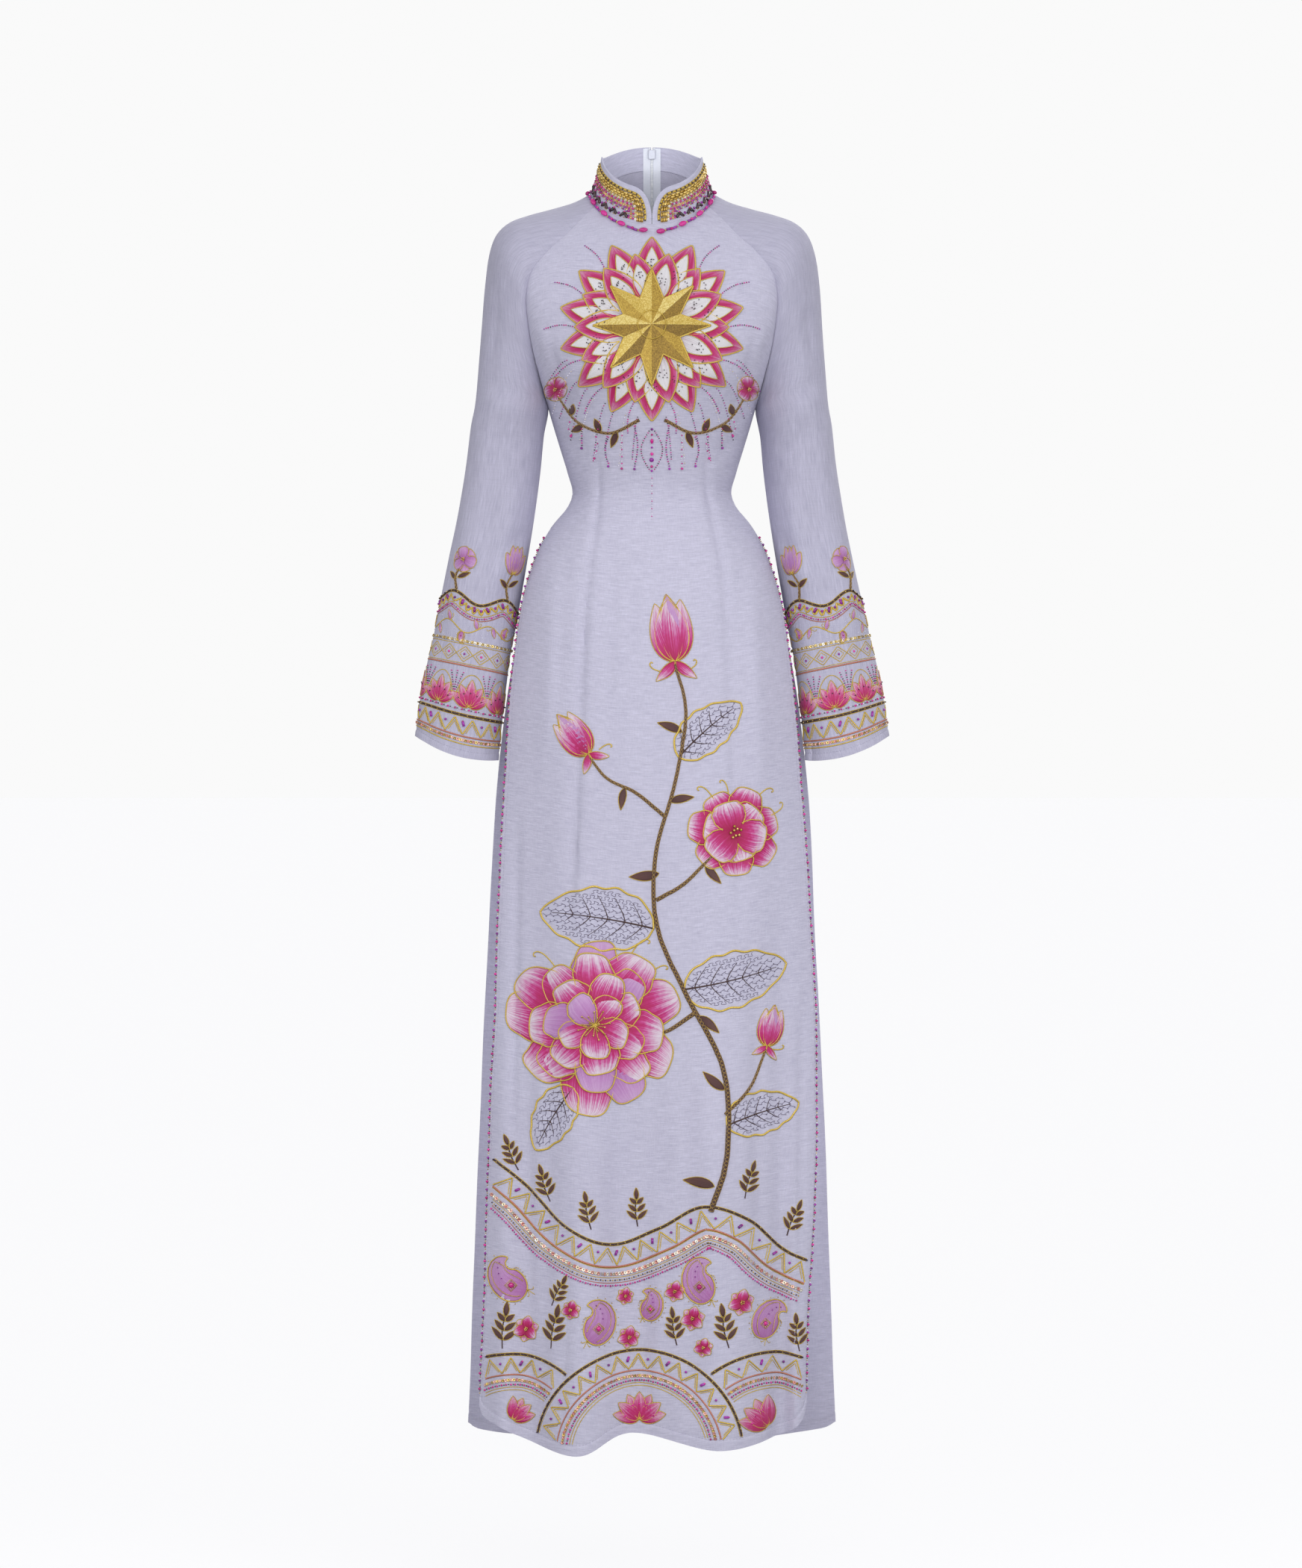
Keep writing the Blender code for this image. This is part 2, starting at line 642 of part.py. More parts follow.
def main():
    clear_scene()
    parts = collection("ao_dai_tunic")
    cutters = collection("cutters")
    cloth = material("lavender_cloth", LAVENDER, CLOTH_ROUGHNESS)
    sleeve_cloth = material("sleeve_cloth", SLEEVE_LAVENDER, CLOTH_ROUGHNESS)
    tape = material("zip_tape", TAPE_WHITE, TAPE_ROUGHNESS)
    metal = material("nickel", NICKEL, METAL_ROUGHNESS, 1.0)
    make_front(parts, cloth)
    make_backs(parts, cloth)
    make_sleeves(parts, sleeve_cloth)
    make_collars(parts, cloth)
    make_zip(parts, cutters, tape, metal)


main()
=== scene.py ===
from collections import namedtuple
from math import asin, atan2, ceil, cos, hypot, pi, radians, sin, sqrt

import bmesh
import bpy
import numpy as np
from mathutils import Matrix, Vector
from mathutils.bvhtree import BVHTree


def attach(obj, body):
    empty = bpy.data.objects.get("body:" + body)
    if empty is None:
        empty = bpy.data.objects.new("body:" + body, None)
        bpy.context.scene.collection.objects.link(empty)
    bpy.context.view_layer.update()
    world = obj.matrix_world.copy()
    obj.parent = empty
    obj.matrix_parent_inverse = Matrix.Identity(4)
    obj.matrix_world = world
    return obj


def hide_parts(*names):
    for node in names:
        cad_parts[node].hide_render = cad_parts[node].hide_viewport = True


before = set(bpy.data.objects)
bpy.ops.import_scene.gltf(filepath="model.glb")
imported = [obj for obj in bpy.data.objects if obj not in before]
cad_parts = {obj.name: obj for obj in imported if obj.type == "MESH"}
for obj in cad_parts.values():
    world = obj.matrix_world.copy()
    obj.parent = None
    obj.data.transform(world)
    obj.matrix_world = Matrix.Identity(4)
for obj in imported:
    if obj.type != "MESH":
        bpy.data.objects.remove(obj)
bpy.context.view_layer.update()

bpy.ops.object.select_all(action="DESELECT")

mm = 0.001
cloth = {"thick": 1.2, "collarThick": 1.8, "seamGap": 0.08}
sideSigns = {"left": 1, "right": -1}


def mix(a, b, share):
    return a + (b - a) * share


def smoothStep(share):
    share = np.clip(share, 0.0, 1.0)
    return share * share * (3 - 2 * share)


def gaps(points, axis=0):
    # the distance from each place to the next one
    return np.linalg.norm(np.diff(points, axis=axis), axis=-1)


def running(steps, axis=0):
    # the running total of some distances, from 0
    return np.insert(np.cumsum(steps, axis=axis), 0, 0.0, axis=axis)


def cells(number):
    # the four corners of every cell of a numbered grid
    return np.stack([number[:-1, :-1], number[1:, :-1], number[1:, 1:], number[:-1, 1:]],
                    -1).reshape(-1, 4)


def alternately(count):
    # 0, 2, 4 and so on, and then 1, 3, 5
    return [*range(0, count, 2), *range(1, count, 2)]


def aim(turn):
    # the way that an angle points
    return np.array([cos(turn), sin(turn)])


# camera, light and floor

view = {"distance": 7.0, "height": -0.67, "aside": -0.001, "tall": 1.785, "sensor": 36.0}
studio = {"floor": -1.60, "floorSize": 400.0, "pale": 0.955, "ambient": 0.53, "glow": 0.69,
          "box": 14.0, "hem": 0.42, "neck": 0.02, "top": 0.12, "fill": 0.84, "behind": 1.45}


def makeCamera():
    data = bpy.data.cameras.new("camera")
    data.sensor_width = view["sensor"]
    data.lens = view["sensor"] * view["distance"] / view["tall"]
    data.clip_end = 1000
    camera = bpy.data.objects.new("camera", data)
    bpy.context.scene.collection.objects.link(camera)
    camera.location = (view["aside"], -view["distance"], view["height"])
    camera.rotation_euler = (pi / 2, 0, 0)
    bpy.context.scene.camera = camera


def makeSun(name, strength, spread, turn, tint):
    data = bpy.data.lights.new(name, "SUN")
    data.energy = strength
    data.angle = radians(spread)
    data.color = tint
    sun = bpy.data.objects.new(name, data)
    bpy.context.scene.collection.objects.link(sun)
    sun.rotation_euler = [radians(angle) for angle in turn]


def makeBox(name, strength, place, turn, size):
    bpy.ops.object.light_add(type="AREA", location=place, rotation=[radians(angle) for angle in turn])
    box = bpy.context.object
    box.name = name
    box.data.shape = "RECTANGLE"
    box.data.size, box.data.size_y = size
    box.data.energy = strength
    box.data.color = (1, 0.995, 0.985)
    box.visible_camera = False


def showCamera(tree, others, seen, output):
    # the camera sees one shader, and every other ray another
    path, either = tree.nodes.new("ShaderNodeLightPath"), tree.nodes.new("ShaderNodeMixShader")
    tree.links.new(path.outputs["Is Camera Ray"], either.inputs[0])
    tree.links.new(others.outputs[0], either.inputs[1])
    tree.links.new(seen.outputs[0], either.inputs[2])
    tree.links.new(either.outputs[0], output)


def makeStudio():
    bpy.context.scene.view_settings.view_transform = "Standard"
    world = bpy.data.worlds.new("studio")
    bpy.context.scene.world = world
    world.use_nodes = True
    nodes = world.node_tree.nodes
    ambient = nodes["Background"]
    ambient.inputs["Color"].default_value = (0.98, 0.985, 1.0, 1)
    ambient.inputs["Strength"].default_value = studio["ambient"]
    backdrop = nodes.new("ShaderNodeBackground")
    backdrop.inputs["Color"].default_value = (1, 1, 1, 1)
    backdrop.inputs["Strength"].default_value = studio["pale"]
    showCamera(world.node_tree, ambient, backdrop, nodes["World Output"].inputs["Surface"])
    makeSun("top", studio["top"], 40, (48, 0, 14), (1, 0.99, 0.975))
    for turn in (-48, 48):
        makeSun("fill", studio["fill"], 70, (78, 0, turn), (0.97, 0.98, 1))
    makeBox("soft_box", studio["box"], (0.16, -1.75, -0.42), (84, 0, 5), (2.2, 0.8))
    # light thrown about between the panels and inside the collar
    makeBox("hem_bounce", studio["hem"], (0.03, -0.035, -1.02), (90, 0, 0), (0.40, 0.80))
    makeBox("neck_bounce", studio["neck"], (0, -0.025, -0.005), (115, 0, 0), (0.06, 0.03))
    makeSun("behind", studio["behind"], 60, (62, 0, 165), (0.98, 0.98, 1))
    bpy.ops.mesh.primitive_circle_add(vertices=96, radius=studio["floorSize"], fill_type="NGON",
                                      location=(0, 0, studio["floor"]))
    floor = bpy.context.object
    floor.name = "floor"
    finish = bpy.data.materials.new("floor")
    finish.use_nodes = True
    nodes, links = finish.node_tree.nodes, finish.node_tree.links
    surface = nodes["Principled BSDF"]
    surface.inputs["Base Color"].default_value = (0.30, 0.30, 0.31, 1)
    surface.inputs["Roughness"].default_value = 1.0
    surface.inputs["Specular IOR Level"].default_value = 0.0
    # the floor looks as pale as the backdrop, but throws back less light
    glow, both = nodes.new("ShaderNodeEmission"), nodes.new("ShaderNodeAddShader")
    glow.inputs["Strength"].default_value = studio["glow"]
    links.new(surface.outputs[0], both.inputs[0])
    links.new(glow.outputs[0], both.inputs[1])
    showCamera(finish.node_tree, surface, both, nodes["Material Output"].inputs["Surface"])
    floor.data.materials.append(finish)
    print("studio ready")


# shader helpers

class Value:
    # a node's output that can be used in sums
    def __init__(self, tree, socket):
        self.tree = tree
        self.socket = socket

    def combined(self, operation, *items):
        node = self.tree.nodes.new("ShaderNodeMath")
        node.operation = operation
        for slot, item in zip(node.inputs, items):
            if isinstance(item, Value):
                self.tree.links.new(item.socket, slot)
            else:
                slot.default_value = item
        return Value(self.tree, node.outputs[0])

    def __add__(self, other):
        return self.combined("ADD", self, other)

    def __radd__(self, other):
        return self.combined("ADD", other, self)

    def __sub__(self, other):
        return self.combined("SUBTRACT", self, other)

    def __rsub__(self, other):
        return self.combined("SUBTRACT", other, self)

    def __mul__(self, other):
        return self.combined("MULTIPLY", self, other)

    def clamped(self):
        return self.combined("MINIMUM", self.combined("MAXIMUM", self, 0.0), 1.0)

    def wave(self):
        return self.combined("SINE", self)

    def whole(self):
        return self.combined("FLOOR", self)


class Finish:
    # one material; what is the same all over is set straight on its shader
    def __init__(self, name, **fixed):
        self.material = bpy.data.materials.new(name)
        self.material.use_nodes = True
        self.tree = self.material.node_tree
        self.shader = self.tree.nodes["Principled BSDF"]
        for socket, value in fixed.items():
            self.shader.inputs[socket.replace("_", " ")].default_value = value

    def node(self, kind, settings, sockets, output=0):
        made = self.tree.nodes.new("ShaderNode" + kind)
        for key, value in settings.items():
            if key == "stops":
                ramp = made.color_ramp.elements
                while len(ramp) < len(value):
                    ramp.new(0.5)
                for element, (place, colour) in zip(ramp, value):
                    element.position = place
                    element.color = (*colour, 1)
            else:
                setattr(made, key, value)
        for key, value in sockets.items():
            if isinstance(value, Value):
                self.tree.links.new(value.socket, made.inputs[key])
            else:
                made.inputs[key].default_value = value
        return Value(self.tree, made.outputs[output])

    def coordinates(self, kind="Object", scale=(1, 1, 1)):
        if kind == "UV":
            place = self.node("UVMap", {}, {})
        else:
            place = self.node("TexCoord", {}, {}, "Object")
        return self.node("Mapping", {}, {"Vector": place, "Scale": scale})

    def noise(self, place, scale, detail=2.0, rough=0.5):
        return self.node("TexNoise", {}, {"Vector": place, "Scale": scale, "Detail": detail,
                                          "Roughness": rough})

    def blended(self, share, first, second):
        return self.node("Mix", {"data_type": "RGBA", "blend_type": "MIX"},
                         {0: share, 6: first, 7: second}, 2)

    def channel(self, place, index):
        return self.node("SeparateXYZ", {}, {"Vector": place}, index)

    def shades(self, stops, share):
        return self.node("ValToRGB", {"stops": stops}, {"Fac": share})

    def feed(self, socket, value):
        self.tree.links.new(value.socket, self.shader.inputs[socket])

    def bump(self, height, strength, distance):
        self.feed("Normal", self.node("Bump", {}, {"Height": height, "Strength": strength,
                                                   "Distance": distance}))


# cloth finishes

# along gives the changes of tone to a metre, across the cloth and down it, before each layer's factor
weave = {"front": {"colour": (0.524, 0.511, 0.636), "along": (150.0, 1500.0)},
         "sleeve": {"colour": (0.462, 0.450, 0.570), "along": (1500.0, 90.0)},
         "collar": {"colour": (0.520, 0.512, 0.640), "along": (150.0, 1500.0)}}


def clothFinish(name, colour, along):
    finish = Finish(name, Roughness=0.86, Sheen_Weight=0.12, Sheen_Roughness=0.5,
                    Specular_IOR_Level=0.25)
    far, close = along
    # long slubs one way, finer threads across them, and soft clouds of tone
    slub = finish.noise(finish.coordinates("UV", (far * 0.5, close * 0.6, 1)), 1.0, 3.0, 0.6)
    thick = finish.noise(finish.coordinates("UV", (far * 0.22, close * 0.22, 1)), 1.0, 2.0, 0.6)
    crossing = finish.noise(finish.coordinates("UV", (close * 0.45, far * 0.8, 1)), 1.0, 2.0)
    fine = finish.noise(finish.coordinates("UV", (1300, 1300, 1)), 1.0, 2.0, 0.6)
    cloud = finish.noise(finish.coordinates("UV", (3, 3, 1)), 1.0, 2.0)
    tone = ((slub - 0.5) * 1.05 + (thick - 0.5) * 0.45 + (crossing - 0.5) * 0.38
            + (fine - 0.5) * 0.45 + (cloud - 0.5) * 0.18)
    dark = (colour[0] * 0.72, colour[1] * 0.72, colour[2] * 0.79)
    light = tuple(min(1.0, c * 1.28) for c in colour)
    share = (tone + 0.5).clamped()
    finish.feed("Base Color", finish.shades([(0.0, dark), (0.5, colour), (1.0, light)], share))
    finish.bump(tone, 0.4, 0.0006)
    return finish.material


# the cut, in millimetres, as the solids have it

neck = {"halfWidth": 67.0, "halfDepth": 58.0, "level": -2.0, "dip": 36.0, "sideRise": 5.0,
        "backPower": 1.6, "raglanFront": 67.5, "raglanBack": 115.0}
collar = {"topHalfWidth": 57.0, "topHalfDepth": 52.0, "topShift": 2.0, "height": 41.0,
          "backHeight": 26.0, "backEase": 1.7, "round": 24.0, "roundPower": 2.5,
          "frontStart": 0.35, "backEnd": 0.95, "columns": 130, "rows": 16, "crowding": 1.35}

# front and back are the raglan seams, ridge the line over the shoulder, wrap the sleeve's arc at a
# seam in degrees, chest and spine the middle lines, turn the body's half arc
YokeRow = namedtuple("YokeRow", "front back ridge wrap chest spine turn")
yoke = [
    YokeRow((61.9, -22.2, -11), (60.7, 24.5, 11), (67, 0, 3), 125, (-58, -38), (58, 34), 67.5),
    YokeRow((78, -41, -28), (78, 43, -9), (88, 1, -8.5), 112, (-66, -57), (70, 10), 70),
    YokeRow((95, -54, -47), (97, 57, -31), (113, 2, -15.5), 101, (-74, -75), (82, -16), 73),
    YokeRow((120, -65, -71), (121, 71, -64), (141, 2, -23), 90, (-84, -98), (93, -48), 76),
    YokeRow((137, -67, -94), (135, 77, -95), (162, 1, -31.5), 82, (-91, -117), (99, -75), 79),
    YokeRow((142, -65, -120), (140, 76, -122), (176.5, 0, -45), 77, (-97, -135), (102, -100), 82),
    YokeRow((140, -59, -148), (139, 68, -150), (185.5, 0, -68), 70, (-103, -154), (102, -127), 84),
    YokeRow((135.5, -49, -176), (135, 56, -178), (190, 0, -101), 58, (-108, -176), (99, -157), 86),
    YokeRow((128, -32, -206), (128, 38, -207), (193.5, 0, -145), 40, (-111, -200), (95, -190), 88),
    YokeRow((121, -12, -232), (121, 18, -232), (197, 0, -193), 17, (-111, -225), (90, -221), 89),
    YokeRow((118, 3, -243), (118, 3, -243), (199.5, 0, -233), 0, (-110, -243), (87, -243), 90),
]
TorsoRow = namedtuple("TorsoRow", "z halfWidth sideY frontY backY")
torso = [
    TorsoRow(-262, 112.5, 3, -106, 84),
    TorsoRow(-290, 104, 2, -96, 76),
    TorsoRow(-318, 95.5, 1, -87, 70),
    TorsoRow(-340, 90.5, 0, -83, 67),
    TorsoRow(-354, 95, 0, -84, 69),
    TorsoRow(-372, 110, 1, -88, 75),
]
panelHem = -1400.0
panelCurve = 2.6
PanelRow = namedtuple("PanelRow", "z right left edgeY middleY flat")
frontPanel = [
    PanelRow(-398, -125, 125, -12, -95, 0.10),
    PanelRow(-430, -137, 137, -24, -101, 0.25),
    PanelRow(-471, -148, 148, -33, -107, 0.45),
    PanelRow(-520, -155, 155, -38, -110, 0.65),
    PanelRow(-590, -162, 162, -44, -112, 0.80),
    PanelRow(-670, -167, 168, -49, -113, 0.90),
    PanelRow(-760, -171, 175, -54, -113, 1.0),
    PanelRow(-850, -174.5, 180, -58, -114, 1.0),
    PanelRow(-940, -177, 185, -61, -115, 1.0),
    PanelRow(-1030, -181, 186, -64, -117, 1.0),
    PanelRow(-1120, -184.5, 185, -66, -118, 1.0),
    PanelRow(-1205, -188, 182, -68, -120, 1.0),
    PanelRow(-1285, -190, 178, -70, -122, 1.0),
    PanelRow(-1350, -193, 176, -71, -123, 1.0),
    PanelRow(-1400, -195, 175, -72, -124, 1.0),
]
backPanel = [
    PanelRow(-398, -124, 124, 14, 86, 0.10),
    PanelRow(-430, -138, 138, 28, 97, 0.25),
    PanelRow(-471, -149, 149, 38, 106, 0.45),
    PanelRow(-520, -158, 158, 44, 110, 0.65),
    PanelRow(-590, -169, 169, 50, 112, 0.80),
    PanelRow(-670, -178, 178, 54, 111, 0.90),
    PanelRow(-760, -184, 184, 57, 109, 1.0),
    PanelRow(-850, -188, 188, 60, 108, 1.0),
    PanelRow(-940, -193, 193, 62, 108, 1.0),
    PanelRow(-1030, -197, 197, 64, 109, 1.0),
    PanelRow(-1120, -201, 201, 66, 110, 1.0),
    PanelRow(-1205, -204, 204, 68, 111, 1.0),
    PanelRow(-1285, -207, 207, 69, 112, 1.0),
    PanelRow(-1350, -209, 209, 70, 113, 1.0),
    PanelRow(-1400, -211, 211, 70, 114, 1.0),
]

# hem heights from the wearer's right edge (-1) to the left edge (1)
frontHem = [(-1.0, -1371), (-0.92, -1388), (-0.42, -1421), (-0.08, -1397), (0.45, -1415),
            (0.85, -1400), (0.97, -1386), (1.0, -1366)]
backHem = [(-1.0, -1404), (-0.9, -1414), (-0.45, -1426), (0.0, -1416), (0.5, -1427),
           (0.9, -1413), (1.0, -1403)]

# the largest folds of the panels, from (topX, topZ) to hemX at the hem
Fold = namedtuple("Fold", "topX topZ hemX width depth")
frontFolds = [
    Fold(-84, -430, -80, 44, 18), Fold(-120, -560, -132, 24, -12), Fold(-10, -620, -18, 38, -19),
    Fold(70, -520, 84, 40, 17), Fold(143, -660, 146, 15, -15), Fold(160, -980, 162, 13, 10),
    Fold(-160, -640, -168, 17, 10),
]
backFolds = [
    Fold(-110, -470, -118, 44, 17), Fold(-58, -560, -62, 26, -10), Fold(-30, -700, -24, 24, 7),
    Fold(46, -520, 52, 40, 16), Fold(104, -600, 98, 26, -12), Fold(152, -560, 150, 30, 12),
    Fold(-168, -700, -170, 20, -8),
]
bust = {"x": 68, "z": -202, "width": 44, "height": 44, "depth": 21}

SleeveRow = namedtuple("SleeveRow", "inner outer centreY halfDepth dip")
underarmHalfDepth = 52.0
sleeve = [
    SleeveRow((122.5, -270), (204, -260), 2, 50.5, 0),
    SleeveRow((126.5, -312), (209, -300), 3, 48, 0),
    SleeveRow((131.5, -352), (215, -340), 3, 46, 0),
    SleeveRow((137.5, -392), (221.5, -380), 3, 44, 0),
    SleeveRow((144.5, -434), (230, -420), 1, 42.5, 0),
    SleeveRow((152.5, -480), (240, -462), -3, 41, 0),
    SleeveRow((160.5, -522), (249, -504), -7, 40, 0),
    SleeveRow((166, -564), (258, -544), -10, 39, 0),
    SleeveRow((170.5, -604), (265, -580), -13, 38, 3),
    SleeveRow((174, -643), (270, -615), -16, 37.5, 9),
]


def neckPoint(degrees):
    turn = np.radians(degrees)
    ahead = np.cos(turn)
    fall = np.where(ahead > 0, ahead, -np.abs(ahead) ** neck["backPower"])
    return np.stack([neck["halfWidth"] * np.sin(turn), -neck["halfDepth"] * ahead,
                     neck["level"] - neck["dip"] * fall + neck["sideRise"] * np.sin(turn) ** 2], -1)


def collarPoint(degrees, up):
    turn = np.radians(degrees)
    base = neckPoint(degrees) + (0, 0, cloth["seamGap"])
    behind = 1 - (1 - np.maximum(0.0, degrees / 90 - 1)) ** collar["backEase"]
    full = mix(collar["height"], collar["backHeight"], behind)
    start = np.maximum(0.0, 1 - degrees / collar["round"])
    rounded = (1 - start ** collar["roundPower"]) ** (1 / collar["roundPower"])
    top = np.stack([collar["topHalfWidth"] * np.sin(turn),
                    collar["topShift"] - collar["topHalfDepth"] * np.cos(turn),
                    base[..., 2] + full], -1)
    return base + (top - base) * (up * rounded)[..., None]


def sectionPoints(right, left, edge, middle, turn, flat, across):
    # a section across a panel: flat 0 is an oval round the body, flat 1 a hanging panel
    angle = radians(turn) * across
    arcX = np.sin(angle) / sin(radians(turn))
    arcY = (np.cos(angle) - cos(radians(turn))) / (1 - cos(radians(turn)))
    hungY = 1 - np.abs(across) ** panelCurve
    shareX, shareY = mix(arcX, across, flat), mix(arcY, hungY, flat)
    x = (left + right) / 2 + (left - right) / 2 * shareX
    return np.stack([x, mix(edge[0], middle[0], shareY), mix(edge[1], middle[1], shareY)], -1)


def seamSteps():
    # distances down the raglan seam, which the pieces on both of its sides share
    places = [Vector(row.front) for row in yoke]
    return [(b - a).length for a, b in zip(places, places[1:])]


def smoothRows(rows, steps, spacing, lastSpacing):
    # finer rows on one smooth curve down each column
    rows = np.array(rows)
    knots = running(steps)
    slopes = np.gradient(rows, knots, axis=0)
    finer = []
    for i, step in enumerate(steps):
        count = max(1, round(step / (lastSpacing if i == len(steps) - 1 else spacing)))
        for k in range(count):
            t = k / count
            before, after = 2 * t**3 - 3 * t**2 + 1, 3 * t**2 - 2 * t**3
            leave, arrive = (t**3 - 2 * t**2 + t) * step, (t**3 - t**2) * step
            finer.append(rows[i] * before + rows[i + 1] * after + slopes[i] * leave
                         + slopes[i + 1] * arrive)
    finer.append(rows[-1])
    return np.array(finer)


def gridNormals(grid, outward):
    down, across = np.gradient(grid, axis=0), np.gradient(grid, axis=1)
    normals = np.cross(down, across)
    normals /= np.maximum(np.linalg.norm(normals, axis=2, keepdims=True), 1e-9)
    middle = normals[len(grid) // 3, grid.shape[1] // 2]
    return normals if np.dot(middle, outward) > 0 else -normals


def edgeColumns(start, end, count, closeBy):
    # places across a piece, with more of them close to its two edges
    places = list(np.linspace(start, end, count))
    for share in closeBy:
        places += [start + share * np.sign(end - start), end - share * np.sign(end - start)]
    return np.array(sorted(places, reverse=bool(end < start)))


# Creases beyond the folds: each a soft ridge (depth above 0) or trough along a line that fades at
# both ends, steeper on one side by skew. Places are x, z on a body piece, and degrees round the arm
# from the inside by way of the front, z on a sleeve.
Crease = namedtuple("Crease", "x1 z1 x2 z2 width depth skew")
frontCreases = [
    Crease(-104, -330, -62, -352, 7, -1.6, 0.3), Crease(-98, -352, -40, -366, 6, 1.3, -0.3),
    Crease(100, -336, 58, -350, 6, -1.5, 0.2), Crease(96, -356, 30, -372, 7, 1.2, 0.4),
    Crease(-70, -300, -104, -272, 9, -1.6, 0.2), Crease(66, -306, 100, -276, 8, -1.7, -0.3),
    Crease(-118, -176, -96, -252, 9, -3.8, 0.4), Crease(118, -170, 98, -248, 9, -3.6, -0.4),
    Crease(-128, -150, -112, -214, 6, 1.8, 0.2), Crease(129, -146, 114, -206, 6, 1.7, -0.2),
    Crease(-40, -372, -52, -620, 9, -1.4, 0.3), Crease(22, -400, 30, -700, 12, -1.5, -0.3),
    Crease(-108, -420, -118, -640, 9, 1.8, 0.3), Crease(112, -430, 122, -700, 10, 2.0, -0.4),
    Crease(-30, -900, -44, -1360, 14, -2.6, 0.3), Crease(40, -1000, 44, -1385, 12, -2.4, -0.3),
    Crease(-122, -900, -128, -1340, 8, 2.2, 0.3), Crease(118, -860, 124, -1340, 9, -2.4, 0.2),
    Crease(10, -1120, 6, -1396, 9, 1.9, 0.2), Crease(-96, -1160, -100, -1400, 9, -1.8, -0.2),
    Crease(-152, -700, -158, -1180, 5, -2.2, 0.2), Crease(171, -900, 166, -1300, 5, -2.0, 0.2),
    Crease(-74, -420, -94, -860, 8, -2.6, 0.3), Crease(84, -440, 100, -820, 8, -2.0, -0.3),
]
backCreases = [
    Crease(-96, -326, -30, -346, 8, -1.8, 0.3), Crease(92, -330, 24, -350, 8, -1.9, -0.2),
    Crease(-88, -300, -20, -318, 9, 1.5, 0.2), Crease(86, -296, 30, -314, 8, 1.4, 0.3),
    Crease(-112, -170, -70, -236, 9, -2.2, 0.3), Crease(110, -176, 66, -244, 9, -2.4, -0.3),
    Crease(-70, -96, -50, -190, 12, 1.4, 0.2), Crease(72, -90, 54, -200, 12, 1.5, -0.2),
    Crease(-80, -400, -92, -760, 10, -2.2, 0.3), Crease(84, -410, 90, -720, 10, -2.0, -0.3),
    Crease(-30, -420, -36, -700, 9, 1.5, 0.2), Crease(24, -480, 30, -820, 9, -1.6, 0.2),
    Crease(-140, -600, -150, -1100, 9, 2.2, 0.2), Crease(132, -640, 136, -1200, 9, 2.0, 0.2),
    Crease(-84, -880, -88, -1390, 12, 2.2, 0.3), Crease(74, -900, 78, -1400, 12, -2.2, 0.3),
    Crease(-8, -980, -14, -1400, 10, -1.8, 0.2), Crease(180, -860, 184, -1320, 8, -2.2, 0.3),
]
sleeveCreases = [
    Crease(60, -238, 150, -205, 9, -2.4, 0.3), Crease(40, -262, 128, -236, 8, 1.8, 0.2),
    Crease(52, -292, 118, -270, 8, -1.6, 0.3), Crease(95, -120, 132, -205, 10, -1.6, 0.2),
    Crease(110, -250, 96, -430, 13, -2.2, 0.4), Crease(66, -330, 74, -500, 12, 2.2, -0.3),
    Crease(140, -360, 118, -520, 13, 2.0, 0.3), Crease(30, -392, 96, -408, 9, -1.7, 0.2),
    Crease(34, -420, 110, -446, 8, 1.5, -0.2), Crease(26, -452, 84, -462, 8, -1.3, 0.2),
    Crease(52, -520, 60, -640, 12, 1.8, 0.3), Crease(128, -480, 134, -632, 14, -1.8, 0.3),
    Crease(300, -250, 236, -222, 10, -2.2, 0.3), Crease(322, -300, 250, -270, 9, 1.7, 0.2),
    Crease(250, -260, 262, -430, 13, -2.0, 0.3), Crease(320, -390, 262, -412, 9, -1.6, 0.2),
    Crease(310, -430, 252, -452, 9, 1.6, 0.2), Crease(286, -500, 292, -630, 13, 1.9, 0.3),
    Crease(214, -420, 222, -612, 14, -1.6, 0.3),
]


def creaseLift(creases, x, z, perX=1.0):
    # how far the creases move each place out; perX is the millimetres in one unit of x
    total = np.zeros_like(x)
    for line in creases:
        runX, runZ = (line.x2 - line.x1) * perX, line.z2 - line.z1
        length = hypot(runX, runZ)
        offX, offZ = (x - line.x1) * perX, z - line.z1
        along = np.clip((offX * runX + offZ * runZ) / length**2, 0, 1)
        side = (offX * runZ - offZ * runX) / length
        past = np.hypot(offX - along * runX, offZ - along * runZ)
        width = line.width * (1 + line.skew * np.tanh(side / line.width))
        total += line.depth * np.exp(-(past / width) ** 2) * (4 * along * (1 - along)) ** 0.7
    return total


def ripple(x, z, seed):
    # small unevenness that keeps hanging cloth from looking like card
    source = np.random.default_rng(seed)
    total = np.zeros_like(x)
    for reach, height in ((160, 0.7), (90, 0.5), (48, 0.28)):
        for _ in range(4):
            turn, phase = source.uniform(0, 2 * pi), source.uniform(0, 2 * pi)
            total += height / 2 * np.sin((x * cos(turn) + z * 0.35 * sin(turn)) * 2 * pi / reach + phase)
    return total


def seamSink(grid, depth, reach, edges, share=1.0):
    # a sewn edge sinks in towards the body; edges names the sewn columns
    # Both pieces of a seam sink the same way, so that they stay together.
    total = np.zeros(grid.shape[:2])
    fromFirst = running(gaps(grid, 1), 1)
    for edge in edges:
        away = fromFirst if edge == "first" else fromFirst[:, -1:] - fromFirst
        total += depth * np.exp(-(away / reach) ** 2)
    inward = np.stack([grid[..., 0] * -0.2, -grid[..., 1], np.full(total.shape, -30.0)], -1)
    inward /= np.linalg.norm(inward, axis=2, keepdims=True)
    return inward * (total * share)[..., None]


